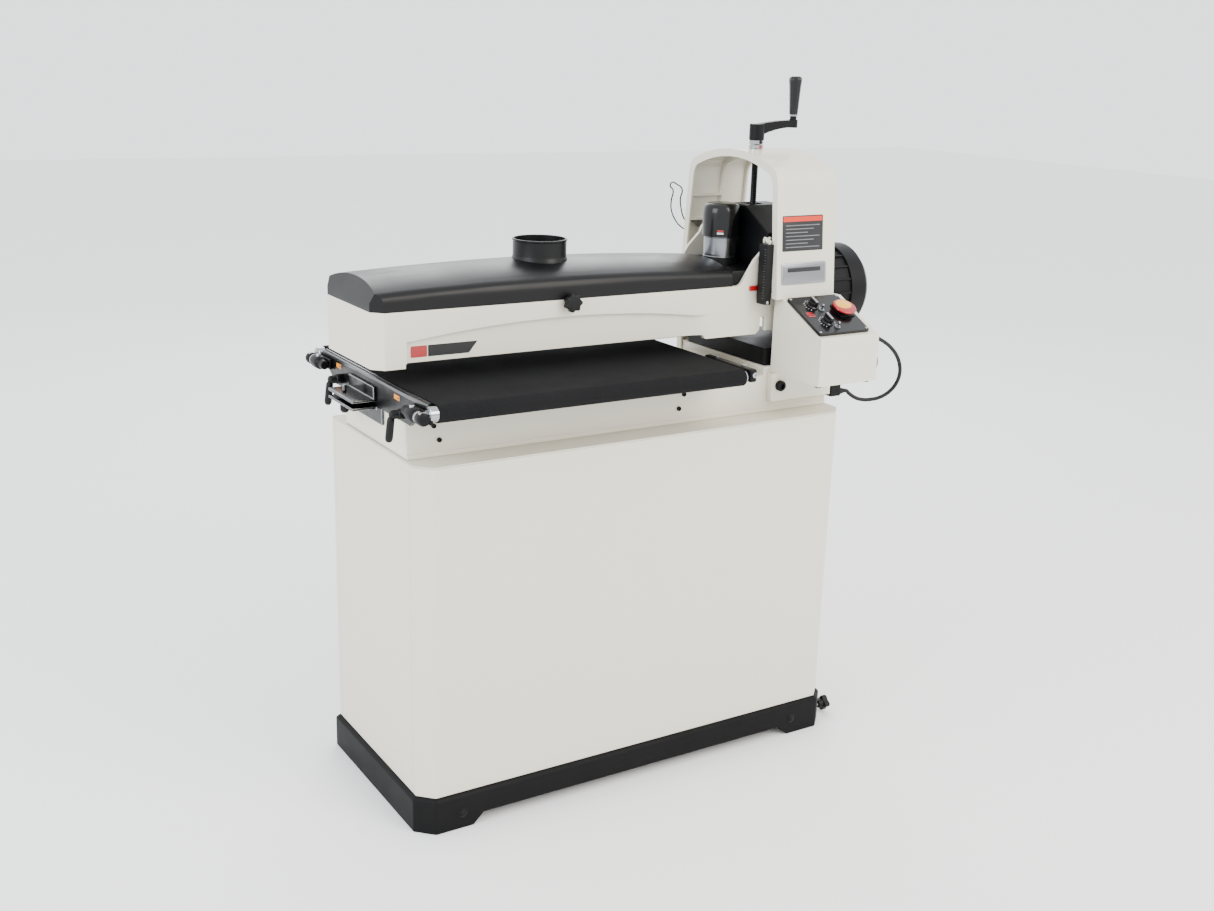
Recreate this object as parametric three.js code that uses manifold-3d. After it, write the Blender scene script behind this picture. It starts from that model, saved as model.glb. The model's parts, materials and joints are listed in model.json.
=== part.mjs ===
// Open-ended oscillating drum sander on a closed stand.
// Millimetres. X runs along the drum to the right, Y to the outfeed side, Z up from the floor.
import * as THREE from "three";
import { mergeVertices } from "three/addons/utils/BufferGeometryUtils.js";
import Module from "manifold-3d";

const wasm = await Module();
wasm.setup();

// ---------------------------------------------------------------- driving dimensions
const GAP = 0.3; // between pieces that touch
const SHEET = 2.5; // folded sheet steel of the stand

const stand = { halfWidth: 448, halfDepth: 190, chamfer: 26, top: 665.6, lip: 12.5 };
// What stands on the stand is drawn over a stand of this height, and rises or sinks with it.
const drawnOver = 665.6;
const rise = stand.top - drawnOver;
const plinth = { height: 67, proud: 7, wall: 24, bevel: 6, toe: 70, arch: 20 };
const plinthKnob = { y: -150, z: 19, radius: 16.5, neck: 22, studRadius: 3.6, lobes: 4 };
const bed = { halfWidth: 444, halfDepth: 131.6, height: 72, wall: 5, step: 16, stepLeft: 289 };
const belt = { left: -440, right: 152.7, thickness: 1.6, radius: 15, halfCentres: 240.6, z: 770 };
const roller = { clearance: 0.4, leftEnd: -456, rightEnd: 158, axleRadius: 5, axleReach: 14 };
const table = { wall: 3, endClearance: 5 };
const sidePlate = { thickness: 5, leftFace: -450, rightFace: 162.5, halfLength: 224, top: 781 };
const leftBearings = { length: 77, width: 27.5, bottom: 752, top: 776 };
const rightBearings = { length: 142, width: 15, bottom: 761, top: 784.5 };
const bearingFit = { axle: 0.4, beyondAxis: 11 };
const outboard = { reach: 43, front: -24, rear: 86, plate: 5, shelfTop: 733, gap: 8 };
const dial = { radius: 18, stem: 4, y: 56, out: 25, below: 26, above: 10 };
const lever = { z: 748, frontY: -140, rearY: 130, hub: 9, hubLength: 20, grip: 6.5, length: 44 };

const column = { left: 292, right: 425, halfDepth: 125, top: 787, postTop: 1000 };
const post = { left: 342, right: 378, innerY: 104, outerY: 121, clearance: 1 };
const screw = { x: 341, radius: 6.5, bottom: 970, top: 1176 };
const collar = { radius: 13.5, height: 16, nutTop: 1131, nutHeight: 13 };
const shroud = { left: 287, right: 424, wall: 6, flange: 14, flangeWall: 4, crown: 1147 };
const shroudRib = { middle: 362, shelves: [945, 998, 1046], thickness: 4, curve: 14 };
const arch = { footHalf: 157, footZ: 885.3, shoulderHalf: 140, shoulderZ: 1090, rearFootZ: 700 };
const crank = { reach: 86, hubRadius: 14.5, hubHeight: 29, endRadius: 9, armWidth: 15 };
const grip = { bottom: 1206.5, top: 1281, topRadius: 12.5, bottomRadius: 8, pinRadius: 4.5 };

const head = { left: -487, halfDepth: 110, endBottom: 813.6, skirt: 821, rim: 907, wall: 7 };
const chamberFront = 97; // the recessed front wall is what is left between this and the recess
const headEnd = { blockRight: -446, footRight: -433, chamfer: 18, boxRight: 222, right: 303.6 };
const recess = { left: -431, right: 168, depth: 8, slope: 28, endZ: 857, midZ: 877 };
const cover = { right: 219.5, wall: 3.5, crown: 56.5, crownX: -150, arc: 12, arcReach: 345 };
const port = { x: -127, radius: 47.5, bore: 45, top: 998 };
const coverKnob = { x: -129, z: 903, radius: 17, depth: 17, stem: 3, lobes: 7 };
const hinge = { y: 117.5, z: 910, pin: 2.5, left: -330, right: 70, lug: 18, fit: 0.3, eye: 6 };

const drum = { left: -423.5, right: 135.5, radius: 62, wall: 8, z: 872, web: 10, sleeve: 1.5 };
const shaft = { radius: 12.5, left: -472, right: 424, fit: 0.2 };
const bearing = { radius: 24, width: 14, outboard: -471, inboard: 232, fit: 0.4 };
const pressure = { y: 84, z: 826, radius: 10, axle: 4, fit: 0.4, reach: 12 };
const rib = { left: 143, width: 8, shaftHole: 32 };

const carriage = { left: 304, right: 395, halfDepth: 99, bottom: 845, top: 1044, shoulder: 1000 };
const carriageBoss = { half: 28, sinkRadius: 18, sinkDepth: 14, screwHole: 8 };
const shoe = { bottom: 868, top: 985, outerY: 127, left: 330, right: 390 };
const nut = { radius: 14, height: 24, bore: 7 };
const motor = { left: 432, right: 585, radius: 86, ribs: 20, ribDepth: 5, flange: 62 };
const osc = { x: 268, radius: 32, capRadius: 35.5, capBottom: 985.3, top: 1048, baseTop: 946 };
const scale = { left: 271, right: 286.7, front: -141, rear: -117, bottom: 874, top: 985 };
const pointer = { left: 258, right: 276, top: 906, bottom: 897, reach: 4.2 };

const box = { left: 303, right: 441, front: -272, bottom: 743, topFront: 826, round: 10 };
const boxWall = 3;
const panel = { left: 306, right: 425, inset: 4, length: 112, thickness: 6 };
const dialKnob = { x: 345, radius: 12, height: 15, rearS: 33.5, frontS: 83.7 };
const toggle = { x: 356, radius: 2.4, height: 13, rearS: 48.5, frontS: 101.5 };
const paddle = { x: 402, s: 56.5, length: 46, width: 44, height: 12 };
const bracket = { left: 297, right: 443, bottom: 688, depth: 14 };
const gearmotor = { left: 446, boxRight: 470, right: 588, y: -92, z: 732, radius: 38 };
const gland = { radius: 7, tip: 4.6, length: 14, fit: 0.3 };
const boxGland = { y: -185, z: 818 };
const motorGland = { y: -138, z: 689 };
const wire = { radius: 1.4, x: 293, low: 977, high: 1065, out: 208 };
const lead = { radius: 3.75, sides: 8, step: 18 };

// The lead from the control box down to the conveyor gearmotor, end to end.
const leadRoute = [
  [455.6, -185, 818],
  [475, -185, 817.5],
  [492, -185, 814],
  [508, -185, 806.5],
  [524, -185, 798],
  [541, -185, 789],
  [559, -185, 776],
  [574, -185, 760],
  [583.5, -185, 742],
  [587, -184, 723],
  [583.5, -181, 704],
  [573, -177, 688.5],
  [556, -169, 675.5],
  [538, -161, 670.5],
  [520, -153.5, 670.5],
  [507, -147, 675],
  [498, -141.5, 682],
  [492, -138.2, 687.8],
  [485.2, -138, 688.6],
];

// ---------------------------------------------------------------- finishes
const finish = (color, roughness, metalness = 0) => ({ color, roughness, metalness });
const PAINT = finish("#e2e1da", 0.45);
const PLINTH = finish("#1c1c1c", 0.6);
const BLACK_CAST = finish("#161616", 0.5);
const COVER = finish("#1f1f20", 0.45);
const CLOTH = finish("#2c2c2e", 0.95);
const CHROME = finish("#d8dadc", 0.12, 1);
const STEEL = finish("#b9bbbd", 0.3, 1);
const ALUMINIUM = finish("#c4c6c8", 0.35, 1);
const BRASS = finish("#b8995a", 0.3, 1);
const PLASTIC = finish("#141414", 0.4);
const ABRASIVE = finish("#6e4a33", 1);
const RUBBER = finish("#1a1a1a", 0.8);
const RED = finish("#c8102e", 0.35);

// ---------------------------------------------------------------- shapes
const ROUND = 32;
const SMALL = 16;

// The closed mesh of a geometry, as a solid that can be joined and cut.
function toSolid(geometry) {
  const bare = geometry.index ? geometry.toNonIndexed() : geometry.clone();
  bare.deleteAttribute("normal");
  bare.deleteAttribute("uv");
  const merged = mergeVertices(bare, 1e-4);
  const vertProperties = merged.attributes.position.array;
  const triVerts = new Uint32Array(merged.index.array);
  return new wasm.Manifold(new wasm.Mesh({ numProp: 3, vertProperties, triVerts }));
}

function toGeometry(solid) {
  const mesh = solid.getMesh();
  const geometry = new THREE.BufferGeometry();
  const positions = new Float32Array(mesh.vertProperties);
  geometry.setAttribute("position", new THREE.BufferAttribute(positions, 3));
  geometry.setIndex(new THREE.BufferAttribute(new Uint32Array(mesh.triVerts), 1));
  geometry.computeVertexNormals();
  return geometry;
}

const join = (...pieces) => toGeometry(pieces.map(toSolid).reduce((a, b) => a.add(b)));
const cut = (piece, ...tools) =>
  toGeometry(tools.map(toSolid).reduce((a, b) => a.subtract(b), toSolid(piece)));
const common = (a, b) => toGeometry(toSolid(a).intersect(toSolid(b)));

const block = ([x0, x1], [y0, y1], [z0, z1]) =>
  new THREE.BoxGeometry(x1 - x0, y1 - y0, z1 - z0).translate(
    (x0 + x1) / 2,
    (y0 + y1) / 2,
    (z0 + z1) / 2,
  );

const basis = (x, y, z) => new THREE.Matrix4().makeBasis(x, y, z);
const X = new THREE.Vector3(1, 0, 0);
const Y = new THREE.Vector3(0, 1, 0);
const Z = new THREE.Vector3(0, 0, 1);
const YZX = basis(Y, Z, X); // an outline drawn in Y and Z, raised along X
const XZY = basis(X, Z, Y.clone().negate()); // an outline drawn in X and Z, raised along -Y

const toShape = (outline) =>
  outline instanceof THREE.Shape
    ? outline
    : new THREE.Shape(outline.map(([a, b]) => new THREE.Vector2(a, b)));
const raise = (outline, depth, curveSegments, steps = 1) =>
  new THREE.ExtrudeGeometry(toShape(outline), {
    depth,
    steps,
    curveSegments,
    bevelEnabled: false,
  });
const prismX = (outline, [x0, x1], curveSegments = 6, steps = 1) =>
  raise(outline, x1 - x0, curveSegments, steps)
    .applyMatrix4(YZX)
    .translate(x0, 0, 0);
const prismY = (outline, [y0, y1], curveSegments = 6) =>
  raise(outline, y1 - y0, curveSegments)
    .applyMatrix4(XZY)
    .translate(0, y1, 0);
const prismZ = (outline, [z0, z1], curveSegments = 6) =>
  raise(outline, z1 - z0, curveSegments).translate(0, 0, z0);

// A turned piece: its half outline of [radius, height] points goes round the axis.
const turned = (profile, sides = ROUND) =>
  new THREE.LatheGeometry(
    profile.map(([r, h]) => new THREE.Vector2(r, h)),
    sides,
  ).rotateX(Math.PI / 2);
const rodZ = (radius, [z0, z1], x, y, sides = ROUND) =>
  turned(
    [
      [0, z0],
      [radius, z0],
      [radius, z1],
      [0, z1],
    ],
    sides,
  ).translate(x, y, 0);
const rodX = (radius, [x0, x1], y, z, sides = ROUND) =>
  rodZ(radius, [x0, x1], 0, 0, sides)
    .rotateY(Math.PI / 2)
    .translate(0, y, z);
const rodY = (radius, [y0, y1], x, z, sides = ROUND) =>
  rodZ(radius, [-y1, -y0], 0, 0, sides)
    .rotateX(Math.PI / 2)
    .translate(x, 0, z);
const tubeX = (outer, inner, span, y, z, sides = ROUND) => {
  const [x0, x1] = span;
  return cut(
    rodX(outer, span, y, z, sides),
    rodX(inner, [x0 - 1, x1 + 1], y, z, sides),
  );
};

// A round outline with lobes, for knobs that fingers turn.
function lobed(radius, lobes, depth, points = 6) {
  const outline = [];
  const count = lobes * points;
  for (let i = 0; i < count; i++) {
    const turn = (2 * Math.PI * i) / count;
    const r = radius - (depth * (1 - Math.cos(lobes * turn))) / 2;
    outline.push([r * Math.cos(turn), r * Math.sin(turn)]);
  }
  return outline;
}

const machine = new THREE.Group();
machine.name = "oscillating_drum_sander";
const loose = []; // the free lead and what is on it stay out of the machine's own box

function part(name, geometry, look) {
  const material = new THREE.MeshStandardMaterial(look);
  const mesh = new THREE.Mesh(geometry, material);
  mesh.name = name;
  machine.add(mesh);
  return mesh;
}

// ---------------------------------------------------------------- stand
// The stand's plan: square rear corners, chamfered front ones.
function plan(halfWidth, halfDepth, chamfer) {
  return [
    [-halfWidth, halfDepth],
    [-halfWidth, -halfDepth + chamfer],
    [-halfWidth + chamfer, -halfDepth],
    [halfWidth - chamfer, -halfDepth],
    [halfWidth, -halfDepth + chamfer],
    [halfWidth, halfDepth],
  ];
}

// A 45 degree chamfer gets shorter as its outline moves in.
const chamferAt = (chamfer, inset) => chamfer - (2 - Math.SQRT2) * inset;

const standPlan = (inset) =>
  plan(
    stand.halfWidth - inset,
    stand.halfDepth - inset,
    chamferAt(stand.chamfer, inset),
  );

function plinthBase() {
  const side = plinth.height - plinth.bevel;
  const lower = prismZ(standPlan(-plinth.proud), [0, side]);
  const bevelled = new THREE.ExtrudeGeometry(toShape(standPlan(-plinth.proud)), {
    depth: plinth.bevel,
    bevelThickness: plinth.bevel,
    bevelSize: plinth.bevel,
    bevelOffset: -plinth.bevel,
    bevelSegments: 1,
  }).translate(0, 0, side - plinth.bevel);
  const room = prismZ(standPlan(plinth.wall - plinth.proud), [-1, plinth.height + 1]);
  const foot = stand.halfWidth - stand.chamfer - plinth.toe;
  const reach = stand.halfDepth + plinth.proud + 1;
  const under = prismY(
    [
      [-foot - 1, -1],
      [-foot + plinth.arch, plinth.arch],
      [foot - plinth.arch, plinth.arch],
      [foot + 1, -1],
    ],
    [-reach, reach],
  );
  return cut(join(lower, bevelled), room, under);
}

function frontPanel() {
  const { halfWidth, halfDepth, chamfer, lip } = stand;
  const path = (inset) => {
    const w = halfWidth - inset;
    const d = halfDepth - inset;
    const c = chamferAt(chamfer, inset);
    const end = -halfDepth + chamfer + lip;
    return [
      [-w, end],
      [-w, -d + c],
      [-w + c, -d],
      [w - c, -d],
      [w, -d + c],
      [w, end],
    ];
  };
  return prismZ([...path(0), ...path(SHEET).reverse()], panelSpan);
}

const panelSpan = [plinth.height + GAP, stand.top - SHEET - GAP];

function rearPanel() {
  const { halfWidth: w, halfDepth: d, lip } = stand;
  const outer = [
    [-w, d - lip],
    [-w, d],
    [w, d],
    [w, d - lip],
  ];
  const inner = [
    [w - SHEET, d - lip],
    [w - SHEET, d - SHEET],
    [-w + SHEET, d - SHEET],
    [-w + SHEET, d - lip],
  ];
  return prismZ([...outer, ...inner], panelSpan);
}

function sidePanel(side) {
  const outer = side * stand.halfWidth;
  const inner = outer - side * SHEET;
  const front = -stand.halfDepth + stand.chamfer + stand.lip + GAP;
  const rear = stand.halfDepth - stand.lip - GAP;
  return block([Math.min(outer, inner), Math.max(outer, inner)], [front, rear], panelSpan);
}

function buildStand() {
  part("plinth_base", plinthBase(), PLINTH);
  part("stand_front_panel", frontPanel(), PAINT);
  part("stand_left_panel", sidePanel(-1), PAINT);
  part("stand_right_panel", sidePanel(1), PAINT);
  part("stand_rear_panel", rearPanel(), PAINT);
  part("stand_top_plate", prismZ(standPlan(0), [stand.top - SHEET, stand.top]), PAINT);
  const face = stand.halfWidth + plinth.proud + GAP;
  const { y, z, radius, neck, studRadius, lobes } = plinthKnob;
  const stud = rodX(studRadius, [face, face + neck + 6], y, z, SMALL);
  const nutRing = rodX(studRadius * 2, [face + 6, face + 12], y, z, 6);
  const star = prismX(lobed(radius, lobes, radius * 0.32), [face + neck, face + neck + 15]);
  part("plinth_knob", join(stud, nutRing, star.translate(0, y, z)), PLASTIC);
}

// ---------------------------------------------------------------- bed and conveyor
const bedBottom = drawnOver + GAP;
const bedTop = bedBottom + bed.height;
const stepTop = bedTop + bed.step;

function bedFrame() {
  const { halfWidth: w, halfDepth: d, wall, stepLeft } = bed;
  const shell = cut(
    block([-w, w], [-d, d], [bedBottom, bedTop]),
    block([-w + wall, w - wall], [-d + wall, d - wall], [bedBottom - 1, bedTop - wall]),
  );
  return join(shell, block([stepLeft, w], [-d, d], [bedTop - 1, stepTop]));
}

function conveyorBelt() {
  const { left, right, thickness, radius, halfCentres, z } = belt;
  const loop = (r) => {
    const shape = new THREE.Shape();
    shape.absarc(halfCentres, z, r, -Math.PI / 2, Math.PI / 2);
    shape.absarc(-halfCentres, z, r, Math.PI / 2, (3 * Math.PI) / 2);
    shape.closePath();
    return shape;
  };
  const outer = loop(radius);
  outer.holes.push(loop(radius - thickness));
  return prismX(outer, [left, right], 8);
}

const rollerRadius = belt.radius - belt.thickness - roller.clearance;

function conveyorRoller(side) {
  const y = side * belt.halfCentres;
  const { leftEnd, rightEnd, axleRadius, axleReach } = roller;
  return join(
    rodX(rollerRadius, [leftEnd, rightEnd], y, belt.z),
    rodX(axleRadius, [leftEnd - axleReach, rightEnd + axleReach], y, belt.z, SMALL),
  );
}

function bearingHousing(sideX, sideY) {
  const { length, width, bottom, top } = sideX < 0 ? leftBearings : rightBearings;
  const plateFace = sideX < 0 ? sidePlate.leftFace - GAP : sidePlate.rightFace + GAP;
  const ordered = (a, b) => [Math.min(a, b), Math.max(a, b)];
  const axis = sideY * belt.halfCentres;
  const outer = axis + sideY * bearingFit.beyondAxis;
  const body = block(
    ordered(plateFace, plateFace + sideX * width),
    ordered(outer, outer - sideY * length),
    [bottom, top],
  );
  const rollerEnd = sideX < 0 ? roller.leftEnd : roller.rightEnd;
  const pocket = ordered(rollerEnd, rollerEnd + sideX * (roller.axleReach + 1));
  const hole = rodX(roller.axleRadius + bearingFit.axle, pocket, axis, belt.z, SMALL);
  if (sideX * (rollerEnd - plateFace) < 0) return cut(body, hole);
  const mouth = ordered(plateFace - sideX, rollerEnd + sideX * GAP);
  return cut(body, hole, rodX(rollerRadius + 1, mouth, axis, belt.z));
}

function conveyorTable() {
  const { wall, endClearance } = table;
  const y = belt.halfCentres - rollerRadius - endClearance;
  const x = [
    sidePlate.leftFace + sidePlate.thickness + GAP,
    sidePlate.rightFace - sidePlate.thickness - GAP,
  ];
  const top = belt.z + belt.radius - belt.thickness - GAP;
  const bottom = belt.z - belt.radius + belt.thickness + 3;
  return cut(
    block(x, [-y, y], [bottom, top]),
    block([x[0] - 1, x[1] + 1], [-y + wall, y - wall], [bottom - 1, top - wall]),
  );
}

function sidePlateLeft() {
  const { leftFace, thickness, halfLength: l, top } = sidePlate;
  const outline = [
    [-l, top],
    [-l, top - 25],
    [-l + 30, top - 29],
    [-l + 62, top - 49],
    [l - 62, top - 49],
    [l - 30, top - 29],
    [l, top - 25],
    [l, top],
  ];
  return prismX(outline, [leftFace, leftFace + thickness]);
}

function sidePlateRight() {
  const { rightFace, thickness, halfLength: l, top } = sidePlate;
  const rest = bedTop + GAP;
  const outline = [
    [-l, top],
    [-l, top - 26],
    [-bed.halfDepth, rest],
    [bed.halfDepth, rest],
    [l, top - 26],
    [l, top],
  ];
  return prismX(outline, [rightFace - thickness, rightFace]);
}

// Steel angle on the bed's end and a shelf on the conveyor, with the levelling dial between.
function buildOutboardSupport() {
  const { reach, front, rear, plate, shelfTop, gap } = outboard;
  const bedFace = -bed.halfWidth - GAP;
  const out = sidePlate.leftFace - reach;
  const dialX = sidePlate.leftFace - dial.out;
  const hole = (z) => rodZ(dial.stem + 0.5, z, dialX, dial.y, SMALL);
  const lowShelf = [shelfTop - plate, shelfTop];
  const angle = join(
    block([out, bedFace], [front, rear], lowShelf),
    block([bedFace - plate, bedFace], [front - 20, rear], [shelfTop - 29, shelfTop]),
  );
  const plateFace = sidePlate.leftFace - GAP;
  const highBottom = shelfTop + gap;
  const highShelf = [highBottom, highBottom + plate];
  const hanger = join(
    block([out, plateFace], [front, rear], highShelf),
    block([plateFace - plate, plateFace], [front, rear], [highBottom, highBottom + 26]),
  );
  const room = block(
    [sidePlate.leftFace - 1, sidePlate.leftFace + sidePlate.thickness + 1],
    [front - 30, rear + 10],
    [shelfTop - 40, shelfTop + 1],
  );
  part("outboard_bracket", cut(angle, hole([shelfTop - 10, shelfTop + 1])), STEEL);
  part("parallelism_plate", cut(hanger, hole([highBottom - 1, highBottom + 10])), STEEL);
  const wheel = prismZ(lobed(dial.radius, 12, 1.5, 4), [
    shelfTop + GAP,
    highBottom - GAP,
  ]).translate(dialX, dial.y, 0);
  const stemSpan = [shelfTop - dial.below, highBottom + plate + dial.above];
  const stem = rodZ(dial.stem, stemSpan, dialX, dial.y, SMALL);
  const tip = rodZ(dial.stem * 2, [stemSpan[0], stemSpan[0] + 12], dialX, dial.y, 6);
  part("parallelism_dial", join(wheel, stem, tip), STEEL);
  return room;
}

function lockLever(y) {
  const face = sidePlate.leftFace - GAP;
  const { z, hub, hubLength, grip: radius, length } = lever;
  const outer = face - hubLength;
  const handle = turned(
    [
      [0, 0],
      [radius * 0.72, 0],
      [radius * 0.8, -length * 0.3],
      [radius, -length * 0.85],
      [radius * 0.8, -length],
      [0, -length],
    ].reverse(),
    SMALL,
  );
  return join(
    rodX(hub, [outer, face], y, z, SMALL),
    block([outer - 8, outer + 6], [y - 6, y + 6], [z - 6, z + 6]),
    handle.rotateY(0.12).translate(outer - 3, y, z - 2),
  );
}

function buildConveyor() {
  part("bed_frame", bedFrame(), PAINT);
  part("conveyor_belt", conveyorBelt(), CLOTH);
  part("take_up_roller", conveyorRoller(-1), CHROME);
  part("drive_roller", conveyorRoller(1), CHROME);
  part("conveyor_table", conveyorTable(), STEEL);
  const room = buildOutboardSupport();
  part("conveyor_side_plate_left", cut(sidePlateLeft(), room), BLACK_CAST);
  part("conveyor_side_plate_right", sidePlateRight(), BLACK_CAST);
  part("bearing_block_front_left", bearingHousing(-1, -1), PLASTIC);
  part("bearing_block_rear_left", bearingHousing(-1, 1), PLASTIC);
  part("bearing_block_front_right", bearingHousing(1, -1), PLASTIC);
  part("bearing_block_rear_right", bearingHousing(1, 1), PLASTIC);
  part("lock_lever_front", lockLever(lever.frontY), PLASTIC);
  part("lock_lever_rear", lockLever(lever.rearY), PLASTIC);
}

function conveyorGearmotor() {
  const { left, boxRight, right, y, z, radius } = gearmotor;
  const body = turned(
    [
      [0, boxRight - 1],
      [radius, boxRight - 1],
      [radius, right - 14],
      [radius * 0.72, right],
      [0, right],
    ],
    24,
  )
    .rotateY(Math.PI / 2)
    .translate(0, y, z);
  const gearbox = block([left, boxRight], [y - 54, y + 42], [z - 50, z + 38]);
  return join(gearbox, body);
}

// ---------------------------------------------------------------- column, shroud and crank
function columnCasting() {
  const { left, right, halfDepth, top, postTop } = column;
  const foot = block([left, right], [-halfDepth, halfDepth], [stepTop + GAP, top]);
  const posts = [-1, 1].map((side) => {
    const y = [side * post.innerY, side * post.outerY].sort((a, b) => a - b);
    return block([post.left, post.right], y, [top - 1, postTop]);
  });
  return join(foot, ...posts);
}

// The shroud's arch in Y and Z, moved in by an inset.
function archOutline(inset, footZ, rearFootZ) {
  const foot = arch.footHalf - inset;
  const shoulder = arch.shoulderHalf - inset;
  const crown = shroud.crown - inset;
  const rise = crown - arch.shoulderZ + inset * 0.4;
  const shoulderZ = arch.shoulderZ - inset * 0.4;
  const knee = shoulderZ + rise * 0.6;
  const shape = new THREE.Shape();
  shape.moveTo(-foot, footZ);
  shape.lineTo(-shoulder, shoulderZ);
  shape.quadraticCurveTo(-shoulder + 3, knee - 4, -shoulder + 22, knee);
  shape.quadraticCurveTo(-shoulder * 0.42, crown, 0, crown);
  shape.quadraticCurveTo(shoulder * 0.42, crown, shoulder - 22, knee);
  shape.quadraticCurveTo(shoulder - 3, knee - 4, shoulder, shoulderZ);
  shape.lineTo(foot, arch.footZ);
  shape.lineTo(foot, rearFootZ);
  return shape;
}

function shroudArch() {
  const { left, right, wall, flange, flangeWall } = shroud;
  const rearFoot = arch.rearFootZ;
  const outer = archOutline(0, arch.footZ, rearFoot);
  const { middle, shelves, thickness, curve } = shroudRib;
  const deep = [left - 1, right + 1];
  const between = [left + flangeWall, right - flangeWall];
  const hollow = (inset, x) =>
    prismX(archOutline(inset, arch.footZ - 1, rearFoot - 1), x, curve);
  const rimHole = hollow(flange, deep);
  const wallHole = hollow(wall, between);
  const band = (x) => prismX(archOutline(1, arch.footZ, rearFoot), x, curve);
  const ribs = [band([middle, middle + flangeWall])];
  for (const z of shelves) {
    const shelf = block([left + 1, middle + 1], [0, arch.footHalf], [z, z + thickness]);
    ribs.push(common(shelf, band([left + 1, middle + 1])));
  }
  const trimmed = ribs.map((each) => cut(each, rimHole));
  const shell = cut(prismX(outer, [left, right], curve), rimHole, wallHole);
  const screwHole = rodZ(screw.radius + 1.5, [shroud.crown - 30, shroud.crown + 5], screw.x, 0);
  const padTop = shroud.crown - wall + 1;
  const pad = rodZ(22, [collar.nutTop + GAP, padTop], screw.x, 0);
  const rearFootBlock = block(
    [left + flangeWall + 1, right - flangeWall - 1],
    [bed.halfDepth + GAP, arch.footHalf - wall + 1],
    [rearFoot, stepTop],
  );
  const lowCut = block(deep, [-arch.footHalf - 1, 0], [rearFoot - 2, arch.footZ]);
  return cut(join(shell, ...trimmed, pad, rearFootBlock), lowCut, screwHole);
}

function elevationScrew() {
  const { x, radius, bottom, top } = screw;
  const collarBottom = shroud.crown + GAP;
  return join(
    rodZ(radius, [bottom, top], x, 0, 20),
    rodZ(collar.radius, [collarBottom, collarBottom + collar.height], x, 0, 24),
    rodZ(collar.radius, [collar.nutTop - collar.nutHeight, collar.nutTop], x, 0, 6),
  );
}

const hubBottom = shroud.crown + GAP + collar.height + GAP;

function crankArm() {
  const { reach, hubRadius, hubHeight, endRadius, armWidth } = crank;
  const hubTop = hubBottom + hubHeight;
  const end = screw.x + reach;
  const armEnd = grip.bottom - 7;
  const shape = new THREE.Shape();
  shape.moveTo(screw.x, hubTop);
  shape.quadraticCurveTo(screw.x + reach * 0.45, armEnd, end, armEnd);
  shape.lineTo(end, armEnd - 13);
  shape.quadraticCurveTo(screw.x + reach * 0.5, armEnd - 13, screw.x + 8, hubBottom + 9);
  shape.lineTo(screw.x, hubBottom + 9);
  const arm = prismY(shape, [-armWidth / 2, armWidth / 2], 8);
  const boss = rodZ(endRadius, [armEnd - 14, armEnd + 1], end, 0, 24);
  const pin = rodZ(grip.pinRadius, [armEnd, grip.top - 14], end, 0, SMALL);
  const washer = rodZ(grip.pinRadius + 2, [armEnd, grip.bottom - GAP], end, 0, SMALL);
  const hub = rodZ(hubRadius, [hubBottom, hubTop], screw.x, 0, 24);
  const bore = rodZ(screw.radius + 0.2, [hubBottom - 1, screw.top + 0.5], screw.x, 0, 20);
  return cut(join(hub, arm, boss, pin, washer), bore);
}

function crankGrip() {
  const { bottom, top, topRadius, bottomRadius, pinRadius } = grip;
  const end = screw.x + crank.reach;
  const bore = pinRadius + 0.2;
  return turned(
    [
      [bore, bottom],
      [bottomRadius, bottom],
      [bottomRadius + 1, bottom + 20],
      [topRadius - 0.6, top - 14],
      [topRadius, top - 7],
      [topRadius * 0.7, top],
      [0, top],
      [0, top - 13.5],
      [bore, top - 13.5],
      [bore, bottom],
    ],
    24,
  ).translate(end, 0, 0);
}

// Sprung wire hook for the dust hose, on the rear leg of the shroud.
function hoseHanger() {
  const { radius, x, low, high, out } = wire;
  const foot = arch.shoulderHalf + 6;
  const at = (y, z) => new THREE.Vector3(x, y, z);
  const curve = new THREE.CatmullRomCurve3([
    at(foot, low),
    at(foot + 20, low + 3),
    at(out - 18, low + 15),
    at(out - 2, low + 35),
    at(out - 1, low + 52),
    at(out - 6, high - 15),
    at(out + 5, high - 6),
    at(out, high),
    at(out - 20, high - 2),
    at(out - 38, high - 11),
    at(out - 33, high - 28),
    at(out - 37, high - 48),
    at(out - 46, high - 64),
    at(foot, low + 14),
  ]);
  const section = new THREE.Shape().absarc(0, 0, radius, 0, 2 * Math.PI);
  return new THREE.ExtrudeGeometry(section, {
    steps: 56,
    curveSegments: 3,
    extrudePath: curve,
    bevelEnabled: false,
  });
}

function buildColumn() {
  part("column", columnCasting(), BLACK_CAST);
  part("shroud", shroudArch(), PAINT);
  part("elevation_screw", elevationScrew(), STEEL);
  part("crank_arm", crankArm(), BLACK_CAST);
  part("crank_grip", crankGrip(), PLASTIC);
  const { left, right, front, rear, bottom, top } = scale;
  part("depth_scale", block([left, right], [front, rear], [bottom, top]), PLASTIC);
  const skin = prismX(archOutline(-GAP, arch.footZ - 1, arch.rearFootZ - 1), [
    shroud.left - 1,
    shroud.right + 1,
  ]);
  part("hose_hanger_wire", cut(hoseHanger(), skin), STEEL);
}

// ---------------------------------------------------------------- head
const headPlan = (inset, right) => {
  const { left, halfDepth } = head;
  const d = halfDepth - inset;
  const l = left + inset;
  const c = chamferAt(headEnd.chamfer, inset);
  return [
    [right, d],
    [l + c, d],
    [l, d - c],
    [l, -d + c],
    [l + c, -d],
    [right, -d],
  ];
};

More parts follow.
